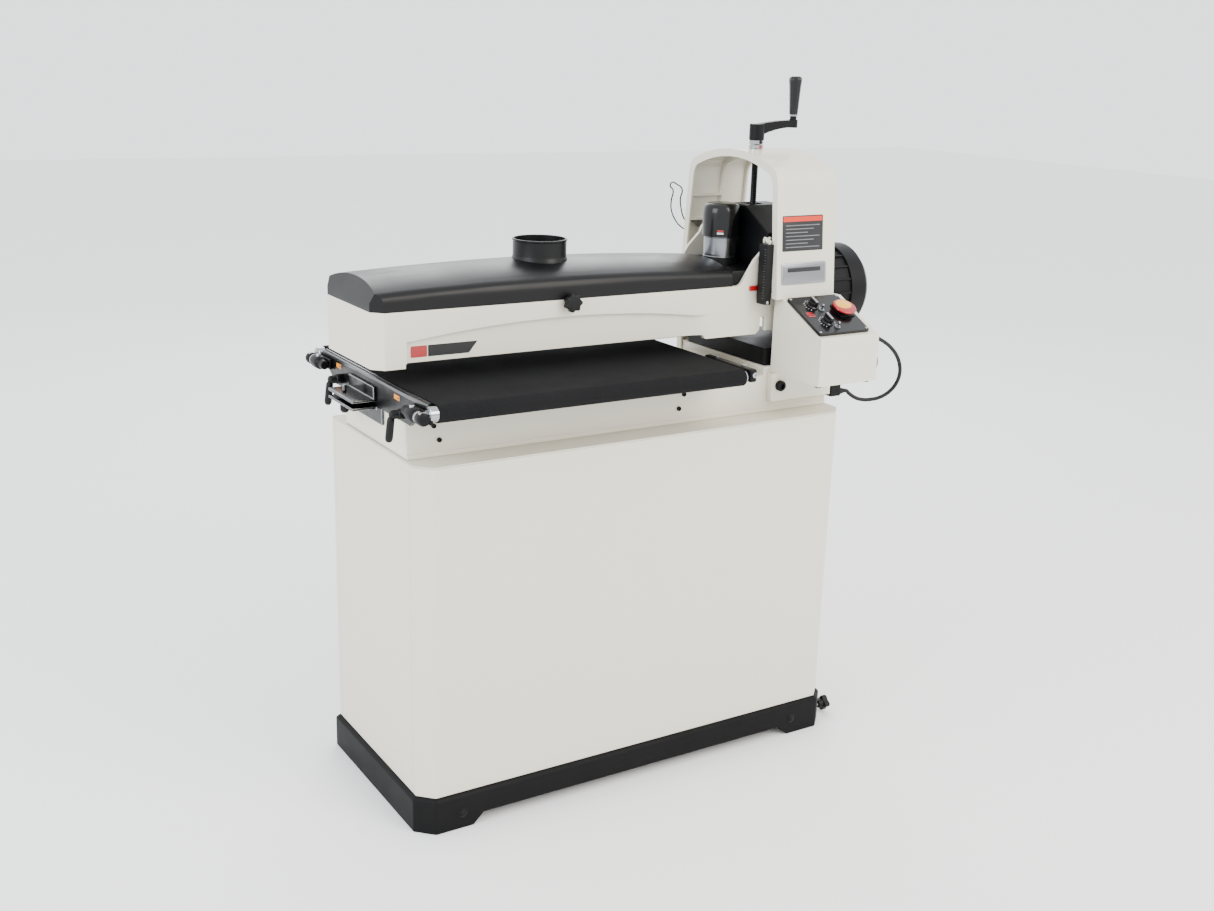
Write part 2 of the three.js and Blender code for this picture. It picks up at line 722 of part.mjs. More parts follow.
function headSide() {
  const { left, endBottom, skirt, rim } = head;
  const { footRight, right } = headEnd;
  const clear = column.left - 4;
  const shape = new THREE.Shape();
  shape.moveTo(left, rim);
  shape.lineTo(left, endBottom);
  shape.lineTo(footRight, endBottom);
  shape.lineTo(footRight, skirt);
  shape.lineTo(recess.right - 10, skirt);
  shape.lineTo(recess.right - 4, endBottom);
  shape.lineTo(clear - 8, endBottom);
  shape.lineTo(clear, endBottom + 8);
  shape.lineTo(clear, carriage.bottom);
  shape.lineTo(right, carriage.bottom);
  shape.lineTo(right, rim + 87);
  shape.quadraticCurveTo(right - 4, rim + 86, right - 9, rim + 72);
  shape.lineTo(right - 36, rim + 46);
  shape.lineTo(right - 62, rim + 7);
  shape.quadraticCurveTo(right - 66, rim, right - 76, rim);
  return shape;
}

function recessTool() {
  const { left, right, depth, slope, endZ, midZ } = recess;
  const shape = new THREE.Shape();
  const floor = head.endBottom - 5;
  const deepRight = right - slope;
  shape.moveTo(left, floor);
  shape.lineTo(left, endZ);
  shape.quadraticCurveTo((left + right) / 2, 2 * midZ - endZ, deepRight, endZ + 2);
  shape.lineTo(deepRight, floor);
  const face = -head.halfDepth;
  const flat = prismY(shape, [face - 1, face + depth], 12);
  const ramp = prismZ(
    [
      [deepRight - 1, face - 1],
      [deepRight - 1, face + depth],
      [deepRight, face + depth],
      [right, face],
      [right, face - 1],
    ],
    [floor, endZ + 2],
  );
  return join(flat, ramp);
}

// An eye round the hinge pin, carried by an arm from inside the wall between two heights.
function hingeLug(x, width, [armBottom, armTop], outset) {
  const { y, z, pin, eye, fit } = hinge;
  const span = [x, x + width];
  const root = head.halfDepth - 1;
  const above = armBottom > head.rim;
  const arm = [
    [root, armBottom],
    [y, above ? z - eye * 0.3 : z - eye * 0.9],
    [y, above ? z + eye * 0.9 : z + eye * 0.3],
    [head.halfDepth + outset, armTop],
    [root, armTop],
  ];
  const round = join(rodX(eye, span, y, z, 20), prismX(arm, span));
  return cut(round, rodX(pin + fit, [x - 1, x + width + 1], y, z, SMALL));
}

const lugStations = [hinge.left + 6, hinge.right - 2 * hinge.lug - 8];

function headHousing() {
  const { left, wall, halfDepth, rim } = head;
  const { blockRight, boxRight, right } = headEnd;
  const inner = halfDepth - wall;
  const below = head.endBottom - 20;
  const body = common(
    prismY(headSide(), [-halfDepth, halfDepth]),
    prismZ(headPlan(0, right + 1), [below, rim + 200]),
  );
  const inside = [-chamberFront, inner];
  const chamber = block([blockRight, rib.left], inside, [below, rim + 1]);
  const drive = block([rib.left + rib.width, boxRight], inside, [below, rim + 1]);
  const shelf = block([boxRight - 1, right + 1], [-inner, inner], [rim, rim + 150]);
  const bearingHole = bearing.radius + bearing.fit;
  const outboardPocket = rodX(bearingHole, [bearing.outboard - 9, blockRight + 1], 0, drum.z);
  const driveBore = rodX(bearingHole, [boxRight - 1, right + 1], 0, drum.z);
  const ribHole = rodX(rib.shaftHole, [rib.left - 1, rib.left + rib.width + 1], 0, drum.z);
  const pins = [-1, 1].map((side) =>
    rodX(
      pressure.axle + pressure.fit,
      [blockRight - pressure.reach - 1, rib.left + rib.width + 1],
      side * pressure.y,
      pressure.z,
      SMALL,
    ),
  );
  const stemHole = rodY(
    coverKnob.stem + 0.4,
    [-halfDepth - 1, -chamberFront + 1],
    coverKnob.x,
    coverKnob.z,
    SMALL,
  );
  const lugs = lugStations.map((x) => hingeLug(x, hinge.lug, [rim - 16, rim - 0.6], GAP));
  const cast = cut(
    body,
    chamber,
    drive,
    shelf,
    outboardPocket,
    driveBore,
    ribHole,
    ...pins,
    stemHole,
    recessTool(),
  );
  return join(cast, ...lugs);
}

// The cover's rounded section, raised along X and then bowed lengthwise.
function coverShell(inset) {
  const half = head.halfDepth - inset;
  const base = head.rim + GAP;
  const crown = cover.crown - inset;
  const left = head.left + inset;
  const section = new THREE.Shape();
  section.moveTo(-half, 0);
  section.lineTo(-half + 1, crown * 0.34);
  section.quadraticCurveTo(-half + 2, crown * 0.6, -half + 14, crown * 0.68);
  section.quadraticCurveTo(-half * 0.5, crown, 0, crown);
  section.quadraticCurveTo(half * 0.5, crown, half - 14, crown * 0.68);
  section.quadraticCurveTo(half - 2, crown * 0.6, half - 1, crown * 0.34);
  section.lineTo(half, 0);
  const right = cover.right - inset;
  const geometry = prismX(section, [left, right], 9, 20);
  const places = geometry.attributes.position;
  for (let i = 0; i < places.count; i++) {
    const along = (places.getX(i) - cover.crownX) / cover.arcReach;
    const bow = 1 - (cover.arc / cover.crown) * along * along;
    places.setZ(i, base + places.getZ(i) * bow);
  }
  const nose = prismY(
    [
      [left - 1, base + 13],
      [left, base + 14 - inset * 0.5],
      [left + 19, base + 60 - inset],
      [left - 1, base + 60],
    ],
    [-half - 5, half + 5],
  );
  const footprint = prismZ(headPlan(inset, right + 1), [base - 1, base + 80]);
  return cut(common(geometry, footprint), nose);
}

function dustCover() {
  const base = head.rim + GAP;
  const inner = join(
    coverShell(cover.wall),
    prismZ(headPlan(cover.wall, cover.right - cover.wall), [base - 2, base + 1]),
  );
  const bore = rodZ(port.bore, [base + 10, base + 90], port.x, 0);
  const lugs = lugStations.map((x) =>
    hingeLug(x + hinge.lug + 2, hinge.lug, [base + 4, base + 13], 0),
  );
  return join(cut(coverShell(0), inner, bore), ...lugs);
}

function dustPort() {
  const { x, radius, bore, top } = port;
  const tube = turned([
    [bore, head.rim + 30],
    [radius, head.rim + 30],
    [radius, top - 4],
    [radius + 1.2, top - 3],
    [radius + 1.2, top],
    [bore, top],
    [bore, head.rim + 30],
  ]).translate(x, 0, 0);
  return cut(tube, join(coverShell(0).translate(0, 0, GAP), coverShell(0)));
}

function coverKnobShape() {
  const { x, z, radius, depth, stem, lobes } = coverKnob;
  const face = -head.halfDepth - 1.5;
  const star = prismY(lobed(radius, lobes, 3.5, 5), [face - depth, face - 4]);
  const neck = rodY(9, [face - 5, face], 0, 0, SMALL);
  const pin = rodY(stem, [face - 1, -head.halfDepth + 6], 0, 0, SMALL);
  return join(star, neck, pin).translate(x, 0, z);
}

function drumBody() {
  const { left, right, radius, wall, web } = drum;
  const bore = shaft.radius + shaft.fit;
  const middle = (left + right) / 2;
  const hub = bore + 9;
  const profile = [
    [bore, middle - 30],
    [hub, middle - 30],
    [hub, middle - web],
    [radius - wall, middle - web],
    [radius - wall, left],
    [radius, left],
    [radius, right],
    [radius - wall, right],
    [radius - wall, middle + web],
    [hub, middle + web],
    [hub, middle + 30],
    [bore, middle + 30],
    [bore, middle - 30],
  ];
  return turned(profile)
    .rotateY(Math.PI / 2)
    .translate(0, 0, drum.z);
}

function carriageCasting() {
  const { left, right, halfDepth, bottom, top, shoulder } = carriage;
  const { half, sinkRadius, sinkDepth, screwHole } = carriageBoss;
  const outline = [
    [-halfDepth, bottom],
    [halfDepth, bottom],
    [halfDepth, shoulder],
    [half, top],
    [-half, top],
    [-halfDepth, shoulder],
  ];
  const shoes = [-1, 1].map((side) => {
    const y = [side * (halfDepth - 1), side * shoe.outerY].sort((a, b) => a - b);
    return block([shoe.left, shoe.right], y, [shoe.bottom, shoe.top]);
  });
  const slots = [-1, 1].map((side) => {
    const y = [
      side * (post.innerY - post.clearance),
      side * (post.outerY + post.clearance),
    ].sort((a, b) => a - b);
    const x = [post.left - post.clearance, post.right + post.clearance];
    return block(x, y, [shoe.bottom - 1, shoe.top + 1]);
  });
  const hole = rodZ(screwHole, [drum.z, top + 1], screw.x, 0);
  const sink = rodZ(sinkRadius, [top - sinkDepth, top + 1], screw.x, 0);
  const nutFloor = top - sinkDepth - nut.height - 2 * GAP;
  const nutSeat = rodZ(nut.radius + GAP, [nutFloor, top - sinkDepth + 1], screw.x, 0, 24);
  const shaftHole = rodX(shaft.radius + 4, [left - 1, right + 1], 0, drum.z);
  const casting = join(prismX(outline, [left, right]), ...shoes);
  return cut(casting, ...slots, hole, sink, nutSeat, shaftHole);
}

function elevationNut() {
  const top = carriage.top - carriageBoss.sinkDepth - GAP;
  return turned(
    [
      [nut.bore, top - nut.height],
      [nut.radius, top - nut.height],
      [nut.radius, top],
      [nut.bore, top],
      [nut.bore, top - nut.height],
    ],
    24,
  ).translate(screw.x, 0, 0);
}

function drumMotor() {
  const { left, right, radius, ribs, ribDepth, flange } = motor;
  const body = turned(
    [
      [0, left],
      [radius - 10, left],
      [radius - ribDepth, left + 8],
      [radius - ribDepth, right - 52],
      [radius, right - 50],
      [radius, right - 14],
      [radius * 0.86, right],
      [0, right],
    ],
    40,
  )
    .rotateY(Math.PI / 2)
    .translate(0, 0, drum.z);
  const fins = [];
  for (let i = 0; i < ribs; i++) {
    const fin = block([left + 8, right - 51], [-2, 2], [radius - ribDepth - 3, radius - 1]);
    fins.push(fin.rotateX((2 * Math.PI * i) / ribs).translate(0, 0, drum.z));
  }
  const adapter = rodX(flange, [carriage.right + GAP, left + 1], 0, drum.z);
  const spindle = rodX(shaft.radius + 4, [carriage.right, left - 0.5], 0, drum.z);
  return cut(join(body, ...fins, adapter), spindle);
}

// The gearmotor that swings the drum: flared base, bright body.
function oscillationMotor() {
  const base = head.rim + GAP;
  const inner = head.halfDepth - head.wall - 1;
  const deck = block([headEnd.boxRight + GAP, carriage.left - GAP - 1], [-inner, inner], [base, osc.baseTop - 12]);
  const body = turned([
    [0, base + 1],
    [44, base + 1],
    [44, osc.baseTop - 12],
    [36, osc.baseTop],
    [osc.radius, osc.baseTop + 5],
    [osc.radius, osc.capBottom - GAP],
    [0, osc.capBottom - GAP],
  ]).translate(osc.x, 0, 0);
  return join(deck, common(body, block([headEnd.boxRight + GAP, 303], [-inner, inner], [base, osc.top])));
}

function oscillationCap() {
  const { x, capRadius: r, capBottom, top } = osc;
  return turned([
    [0, capBottom],
    [r, capBottom],
    [r, top - 12],
    [r - 3, top - 5],
    [r - 10, top],
    [0, top],
  ]).translate(x, 0, 0);
}

function buildHead() {
  part("head_housing", headHousing(), PAINT);
  part("dust_cover", dustCover(), COVER);
  part("dust_port", dustPort(), COVER);
  part("cover_knob", coverKnobShape(), PLASTIC);
  part(
    "cover_hinge_pin",
    rodX(hinge.pin, [hinge.left, hinge.right], hinge.y, hinge.z, SMALL),
    STEEL,
  );
  part("drum", drumBody(), ALUMINIUM);
  const sleeve = [drum.left + 2, drum.right - 2];
  const sleeveInner = drum.radius + GAP;
  part("abrasive_wrap", tubeX(sleeveInner + drum.sleeve, sleeveInner, sleeve, 0, drum.z), ABRASIVE);
  part("drum_shaft", rodX(shaft.radius, [shaft.left, shaft.right], 0, drum.z), STEEL);
  for (const [name, x] of [
    ["outboard_bearing", bearing.outboard],
    ["inboard_bearing", bearing.inboard],
  ]) {
    const span = [x, x + bearing.width];
    part(name, tubeX(bearing.radius, shaft.radius + shaft.fit, span, 0, drum.z), STEEL);
  }
  for (const [name, side] of [
    ["pressure_roller_front", -1],
    ["pressure_roller_rear", 1],
  ]) {
    const y = side * pressure.y;
    const ends = [headEnd.blockRight - pressure.reach, rib.left + rib.width + 4];
    const tread = rodX(pressure.radius, [drum.left, drum.right], y, pressure.z, 20);
    part(name, join(tread, rodX(pressure.axle, ends, y, pressure.z, SMALL)), RUBBER);
  }
  part("carriage", carriageCasting(), BLACK_CAST);
  part("elevation_nut", elevationNut(), BRASS);
  part("drum_motor", drumMotor(), BLACK_CAST);
  part("oscillation_motor", oscillationMotor(), ALUMINIUM);
  part("oscillation_motor_cap", oscillationCap(), PLASTIC);
  const { left, right, top, bottom, reach } = pointer;
  const face = -head.halfDepth - GAP;
  part("depth_pointer", block([left, right], [face - reach, face], [bottom, top]), RED);
}

// ---------------------------------------------------------------- control box
const slopeTop = { y: -arch.footHalf - 0.5, z: arch.footZ - GAP };
const slopeFoot = { y: box.front + box.round, z: box.topFront + box.round * 0.7 };
const slopeLength = Math.hypot(slopeFoot.y - slopeTop.y, slopeFoot.z - slopeTop.z);
const down = {
  y: (slopeFoot.y - slopeTop.y) / slopeLength,
  z: (slopeFoot.z - slopeTop.z) / slopeLength,
};
const tilt = Math.atan2(-down.z, -down.y);

// A piece drawn upright at its own origin goes onto the sloping panel, s down from its top.
function onPanel(geometry, x, s, lift) {
  return geometry
    .rotateX(tilt)
    .translate(
      x,
      slopeTop.y + down.y * s + down.z * lift,
      slopeTop.z + down.z * s - down.y * lift,
    );
}

function controlBox() {
  const { left, right, front, bottom, topFront } = box;
  const back = -bed.halfDepth - GAP;
  const outline = (inset) => {
    const shape = new THREE.Shape();
    shape.moveTo(back - inset, bottom + inset);
    shape.lineTo(front + inset, bottom + inset);
    shape.lineTo(front + inset, topFront - inset);
    shape.quadraticCurveTo(
      front + inset,
      slopeFoot.z - inset,
      slopeFoot.y + inset * 0.5,
      slopeFoot.z - inset,
    );
    shape.lineTo(slopeTop.y + inset * 0.5, slopeTop.z - inset);
    shape.lineTo(back - inset, slopeTop.z - inset);
    return shape;
  };
  const solid = prismX(outline(0), [left, right]);
  const room = prismX(outline(boxWall), [left + boxWall, right - boxWall]);
  const vent = rodY(12, [back - boxWall - 1, back + 1], (left + right) / 2, bottom + 60, SMALL);
  return cut(solid, room, vent);
}

function controlPanel() {
  const { left, right, inset, length, thickness } = panel;
  const corner = 5;
  const w = (right - left) / 2;
  const shape = new THREE.Shape();
  shape.moveTo(-w + corner, 0);
  shape.lineTo(w - corner, 0);
  shape.quadraticCurveTo(w, 0, w, -corner);
  shape.lineTo(w, -length + corner);
  shape.quadraticCurveTo(w, -length, w - corner, -length);
  shape.lineTo(-w + corner, -length);
  shape.quadraticCurveTo(-w, -length, -w, -length + corner);
  shape.lineTo(-w, -corner);
  shape.quadraticCurveTo(-w, 0, -w + corner, 0);
  return onPanel(prismZ(shape, [0, thickness], 3), (left + right) / 2, inset, GAP);
}

const panelTop = panel.thickness + 2 * GAP;

function dialKnobAt(s) {
  const { x, radius, height } = dialKnob;
  const body = turned(
    [
      [0, 0],
      [radius, 0],
      [radius * 0.92, height * 0.5],
      [radius * 0.6, height * 0.62],
      [0, height * 0.62],
    ],
    24,
  );
  const bar = block([-3, 3], [-radius * 0.92, radius * 0.92], [1, height]);
  return onPanel(join(body, bar), x, s, panelTop);
}

function toggleAt(s) {
  const { x, radius, height } = toggle;
  const stem = turned(
    [
      [0, 0],
      [radius * 0.4, 0],
      [radius * 0.55, height * 0.3],
      [radius, height * 0.9],
      [radius * 0.8, height],
      [0, height],
    ],
    12,
  );
  return onPanel(stem, x, s, panelTop);
}

function switchPaddle() {
  const { x, s, length, width, height } = paddle;
  const shape = new THREE.Shape().absellipse(0, 0, length / 2, width / 2, 0, 2 * Math.PI);
  const plate = prismZ(shape, [height - 5, height], 8);
  const foot = block([-length * 0.3, length * 0.3], [2, width * 0.43], [0, height - 4]);
  return onPanel(join(plate, foot), x, s, panelTop);
}

const coneX = (base, tip, [x0, x1], y, z, bore) =>
  turned(
    [
      [bore, x0],
      [base, x0],
      [base, x0 + 3],
      [tip, x1],
      [bore, x1],
      [bore, x0],
    ],
    SMALL,
  )
    .rotateY(Math.PI / 2)
    .translate(0, y, z);

function buildControls() {
  part("control_box", controlBox(), PAINT);
  part("control_panel", controlPanel(), PLASTIC);
  part("speed_knob_rear", dialKnobAt(dialKnob.rearS), PLASTIC);
  part("speed_knob_front", dialKnobAt(dialKnob.frontS), PLASTIC);
  part("toggle_rear", toggleAt(toggle.rearS), CHROME);
  part("toggle_front", toggleAt(toggle.frontS), CHROME);
  part("switch_paddle", switchPaddle(), RED);
  const back = -bed.halfDepth - GAP;
  const { left, right, bottom, depth } = bracket;
  const foot = block([left, right], [back - depth, back], [bottom, box.bottom - GAP]);
  part("box_bracket", foot, PAINT);
  part("conveyor_gearmotor", conveyorGearmotor(), BLACK_CAST);
  const glandSpan = (x) => [x + GAP, x + GAP + gland.length];
  const upper = coneX(gland.radius, gland.tip, glandSpan(box.right), boxGland.y, boxGland.z, 1.5);
  part("box_gland", upper, PLASTIC);
  const lower = coneX(
    gland.radius,
    gland.tip,
    glandSpan(gearmotor.boxRight),
    motorGland.y,
    motorGland.z,
    1.5,
  );
  part("gearmotor_gland", lower, PLASTIC);
}

function buildLead() {
  const route = new THREE.CatmullRomCurve3(
    leadRoute.map(([x, y, z]) => new THREE.Vector3(x, y, z)),
    false,
    "centripetal",
  );
  const section = new THREE.Shape().absarc(0, 0, lead.radius, 0, 2 * Math.PI);
  const geometry = new THREE.ExtrudeGeometry(section, {
    steps: Math.ceil(route.getLength() / lead.step),
    curveSegments: lead.sides / 2,
    extrudePath: route,
    bevelEnabled: false,
  });
  loose.push(part("conveyor_lead", geometry, RUBBER));
}

buildStand();
const standParts = machine.children.length;
buildConveyor();
buildColumn();
buildHead();
buildControls();
buildLead();
machine.children
  .slice(standParts)
  .forEach((mesh) => mesh.geometry.translate(0, 0, rise));

// The origin goes to the middle of the machine's footprint, on the floor.
loose.forEach((mesh) => mesh.removeFromParent());
const bounds = new THREE.Box3().setFromObject(machine, true);
loose.forEach((mesh) => machine.add(mesh));
const middle = bounds.getCenter(new THREE.Vector3());
machine.children.forEach((mesh) => mesh.position.set(-middle.x, -middle.y, -bounds.min.z));

export default machine;
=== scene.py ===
"""Open-ended drum sander on a closed stand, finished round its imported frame.

Sizes in the classes are millimetres, measured from the middle of the stand on the
floor: X along the drum to the right, Y to the outfeed side, Z up. A Blank turns them
into metres in the frame's own place when it is finished.
"""

import json
import logging
import math
from collections.abc import Sequence
from dataclasses import dataclass
from enum import Enum

import bmesh
import bpy
from mathutils import Matrix, Vector


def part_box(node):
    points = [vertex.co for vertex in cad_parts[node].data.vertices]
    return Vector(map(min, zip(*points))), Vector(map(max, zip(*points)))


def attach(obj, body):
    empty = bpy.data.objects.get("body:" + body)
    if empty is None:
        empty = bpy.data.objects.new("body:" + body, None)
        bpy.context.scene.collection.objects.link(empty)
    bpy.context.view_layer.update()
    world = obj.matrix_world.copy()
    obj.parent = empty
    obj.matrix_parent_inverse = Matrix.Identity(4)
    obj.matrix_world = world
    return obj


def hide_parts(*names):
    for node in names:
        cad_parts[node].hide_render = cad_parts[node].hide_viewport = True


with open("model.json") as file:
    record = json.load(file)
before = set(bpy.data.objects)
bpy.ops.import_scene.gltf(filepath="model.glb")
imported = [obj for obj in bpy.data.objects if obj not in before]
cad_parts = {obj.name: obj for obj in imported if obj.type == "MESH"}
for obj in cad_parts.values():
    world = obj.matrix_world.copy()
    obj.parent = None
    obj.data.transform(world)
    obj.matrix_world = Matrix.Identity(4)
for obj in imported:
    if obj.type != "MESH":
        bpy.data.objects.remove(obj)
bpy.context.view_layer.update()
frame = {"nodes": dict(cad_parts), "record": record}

log = logging.getLogger("sander")

MM = 0.001
TOP_LOW, TOP_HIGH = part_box("stand_top_plate")
STAND_MIDDLE = Vector(((TOP_LOW.x + TOP_HIGH.x) / 2, (TOP_LOW.y + TOP_HIGH.y) / 2, 0))
TO_FRAME = Matrix.Translation(STAND_MIDDLE) @ Matrix.Scale(MM, 4)
BODY_OF = {
    node: body
    for body, nodes in frame["record"]["behaviour"]["bodies"].items()
    for node in nodes
}
Point = Sequence[float]
FULL_TURN = 2 * math.pi
SHARP_RADIANS = 0.6  # edges of new geometry turned further than this are softened
ORDER_DIGITS = 6  # of a metre, for putting vertices in order
MERGE_MM = 0.002  # vertices of a turned shape closer than this are one
SOLID_MERGE_MM = 0.02  # vertices of a copied solid closer than this are one
FLAT_DEGREES = 0.6  # faces of a copied solid within this are one face
SOFTENED_DEGREES = 28  # edges of a copied solid turned further than this are softened


# ---------------------------------------------------------------- finishes
class Pattern(Enum):
    """What the small relief of a surface looks like."""

    CLOUDED = "soft hills, as on powder coat"
    GRAINED = "small cells, as on textured paint"
    BRUSHED = "long scratches, as on ground metal"
    GRITTY = "sharp grains, as on an abrasive"


def linear(hex_colour: str) -> tuple[float, float, float, float]:
    """An sRGB hex colour as Blender's linear colour.

    Args:
        hex_colour: Six digits after a hash.

    Returns:
        Red, green, blue and an alpha of one.
    """
    shares = (int(hex_colour[i : i + 2], 16) / 255 for i in (1, 3, 5))
    red, green, blue = (
        s / 12.92 if s <= 0.04045 else ((s + 0.055) / 1.055) ** 2.4 for s in shares
    )
    return red, green, blue, 1.0


def add(
    tree: bpy.types.NodeTree, kind: str, links: dict | None = None, **settings: object
) -> bpy.types.Node:
    """Adds a node with its settings and links.

    Args:
        tree: The material's node tree.
        kind: The node's type name, without its ShaderNode prefix.
        links: Input name or number to an output socket or a plain value.
        **settings: Properties of the node itself.

    Returns:
        The new node.
    """
    node = tree.nodes.new(f"ShaderNode{kind}")
    for name, value in settings.items():
        setattr(node, name, value)
    for key, value in (links or {}).items():
        if isinstance(value, bpy.types.NodeSocket):
            tree.links.new(value, node.inputs[key])
        else:
            node.inputs[key].default_value = value
    return node


@dataclass(frozen=True)
class Finish:
    """What a surface is made of and how it was made."""

    name: str
    colour: str
    roughness: float
    metallic: float = 0.0
    ior: float = 1.5
    pattern: Pattern = Pattern.CLOUDED
    grain_mm: float = 1.5
    depth_mm: float = 0.015
    stretch: tuple[float, float, float] = (1.0, 1.0, 1.0)
    mottle: float = 0.25
    mottle_mm: float = 140.0
    shade: str = "#000000"
    fleck: str | None = None
    fleck_share: float = 0.0
    coat: float = 0.0
    specular: float = 0.5

    def material(self) -> bpy.types.Material:
        """The finish as a material, made once."""
        made = bpy.data.materials.get(self.name)
        if made:
            return made
        made = bpy.data.materials.new(self.name)
        made.use_nodes = True
        tree = made.node_tree
        tree.nodes.clear()
        place = add(tree, "TexCoord").outputs["Object"]
        place = add(
            tree, "Mapping", {"Vector": place, "Scale": self.stretch}
        ).outputs["Vector"]
        relief = self._relief(tree, place)
        broad = add(
            tree,
            "TexNoise",
            {"Vector": place, "Scale": 1 / (self.mottle_mm * MM), "Detail": 3.0},
        ).outputs[0]
        share = add(
            tree,
            "MapRange",
            {"Value": broad, "From Min": 0.35, "From Max": 0.7, "To Max": self.mottle},
        ).outputs["Result"]
        colour = self._mixed(tree, share, linear(self.colour), linear(self.shade))
        if self.fleck:
            spots = add(
                tree,
                "MapRange",
                {
                    "Value": relief,
                    "From Min": 0.6,
                    "From Max": 0.75,
                    "To Max": self.fleck_share,
                },
            ).outputs["Result"]
            colour = self._mixed(tree, spots, colour, linear(self.fleck))
        sheen_range = add(
            tree,
            "MapRange",
            {
                "Value": broad,
                "From Min": 0.3,
                "From Max": 0.7,
                "To Min": max(0.03, self.roughness - 0.05),
                "To Max": min(1.0, self.roughness + 0.05),
            },
        ).outputs["Result"]
        bump = add(
            tree,
            "Bump",
            {"Height": relief, "Strength": 0.7, "Distance": self.depth_mm * MM},
        ).outputs["Normal"]
        surface = add(
            tree,
            "BsdfPrincipled",
            {
                "Base Color": colour,
                "Roughness": sheen_range,
                "Metallic": self.metallic,
                "IOR": self.ior,
                "Specular IOR Level": self.specular,
                "Coat Weight": self.coat,
                "Coat Roughness": 0.08,
                "Normal": bump,
            },
        ).outputs["BSDF"]
        add(tree, "OutputMaterial", {"Surface": surface})
        return made

    def _relief(
        self, tree: bpy.types.NodeTree, place: bpy.types.NodeSocket
    ) -> bpy.types.NodeSocket:
        """The height of the surface's own pattern.

        Args:
            tree: The material's node tree.
            place: Where on the piece.

        Returns:
            The height's socket.
        """
        scale = 1 / (self.grain_mm * MM)
        if self.pattern is Pattern.GRAINED:
            cells = {"Vector": place, "Scale": scale, "Randomness": 1.0}
            return add(tree, "TexVoronoi", cells, feature="SMOOTH_F1").outputs[
                "Distance"
            ]
        detail = {Pattern.CLOUDED: 2.0, Pattern.BRUSHED: 4.0, Pattern.GRITTY: 1.0}
        wanted = {"Vector": place, "Scale": scale, "Detail": detail[self.pattern]}
        return add(tree, "TexNoise", wanted).outputs[0]

    @staticmethod
    def _mixed(
        tree: bpy.types.NodeTree, share: bpy.types.NodeSocket, first: object, second: object
    ) -> bpy.types.NodeSocket:
        """One colour over another.

        Args:
            tree: The material's node tree.
            share: How much of the second colour.
            first: The colour or socket below.
            second: The colour or socket above.

        Returns:
            The mixed colour's socket.
        """
        # A colour Mix node's factor, A, B and Result are its sockets 0, 6, 7 and 2.
        mix = add(tree, "Mix", {0: share, 6: first, 7: second}, data_type="RGBA")
        return mix.outputs[2]


# Powder coat: warm off-white, faint orange peel, a soft even gloss.
WHITE = Finish(
    "powder coat on sheet steel", "#D9D3C3", 0.36, depth_mm=0.02, mottle=0.03,
    mottle_mm=260.0, shade="#B9B7AE", grain_mm=2.2,
)
# Enamel on a sand casting: the same white, a little rounder and glossier.
WHITE_CAST = Finish(
    "enamel on cast iron", "#D9D3C2", 0.32, depth_mm=0.05, mottle=0.04,
    mottle_mm=160.0, shade="#B3B0A6", grain_mm=4.0, coat=0.15,
)
# Wrinkle paint: black, small cells that break the highlight.
PLINTH_BLACK = Finish(
    "wrinkle paint on pressed steel", "#0A0A0B", 0.55, specular=0.12,
    pattern=Pattern.GRAINED, grain_mm=1.6, depth_mm=0.12, mottle=0.3, shade="#060607",
)
# Fine texture paint: black with a broad soft highlight along the rounded edge.
COVER_BLACK = Finish(
    "fine texture paint on a pressed cover", "#0A0A0B", 0.36, specular=0.22,
    pattern=Pattern.GRAINED, grain_mm=0.9, depth_mm=0.03, mottle=0.25, shade="#070708",
)
# Black enamel on a rough casting: low hills and cloudy patches under a dull gloss.
CAST_BLACK = Finish(
    "black enamel on cast iron", "#080809", 0.42, specular=0.16, grain_mm=3.0, depth_mm=0.08,
    mottle=0.4, mottle_mm=60.0, shade="#050506",
)
# Grit on cloth: grains are 0.2 mm on the real belt, drawn at 1.1 mm so that they show.
BELT_GRIT = Finish(
    "silicon carbide grit on cloth", "#161617", 0.9, specular=0.1, pattern=Pattern.GRITTY,
    grain_mm=1.1, depth_mm=0.16, mottle=0.3, mottle_mm=90.0, shade="#121213",
    fleck="#303032", fleck_share=0.5,
)
# Grit on cloth: red-brown grains with paler flecks, drawn at 1.1 mm as on the belt.
DRUM_GRIT = Finish(
    "aluminium oxide grit on cloth", "#6F4128", 0.92, pattern=Pattern.GRITTY,
    grain_mm=1.1, depth_mm=0.16, mottle=0.35, mottle_mm=40.0, shade="#3A1E10",
    fleck="#B98A63", fleck_share=0.6,
)
# Hard chrome: near-mirror, with faint turning marks round the axis.
CHROME = Finish(
    "hard chrome on steel", "#A4A6A9", 0.09, metallic=1.0, pattern=Pattern.BRUSHED,
    grain_mm=0.8, depth_mm=0.002, stretch=(0.1, 1.0, 1.0), mottle=0.1,
)
# Bright zinc: blue-white metal with broad cloudy spangle.
BRIGHT_ZINC = Finish(
    "bright zinc on bent steel", "#8E9092", 0.24, metallic=1.0, grain_mm=5.0,
    depth_mm=0.02, mottle=0.45, mottle_mm=18.0, shade="#4E5053",
)
# Bright zinc plate with its colour darkened as painted shade: mirror-like but dark, as bright
# plate is in a dark corner.
ZINC_IN_PAINTED_SHADE = Finish(
    "bright zinc darkened as painted shade", "#2C2C2E", 0.2, metallic=1.0, grain_mm=6.0,
    depth_mm=0.03, mottle=0.7, mottle_mm=16.0, shade="#121213",
)
# Ground steel: grey metal with fine scratches along the edge.
GROUND_STEEL = Finish(
    "ground mild steel", "#7C7E80", 0.3, metallic=1.0, pattern=Pattern.BRUSHED,
    grain_mm=0.7, depth_mm=0.01, stretch=(1.0, 0.04, 1.0), mottle=0.3, mottle_mm=30.0,
    shade="#48494B",
)
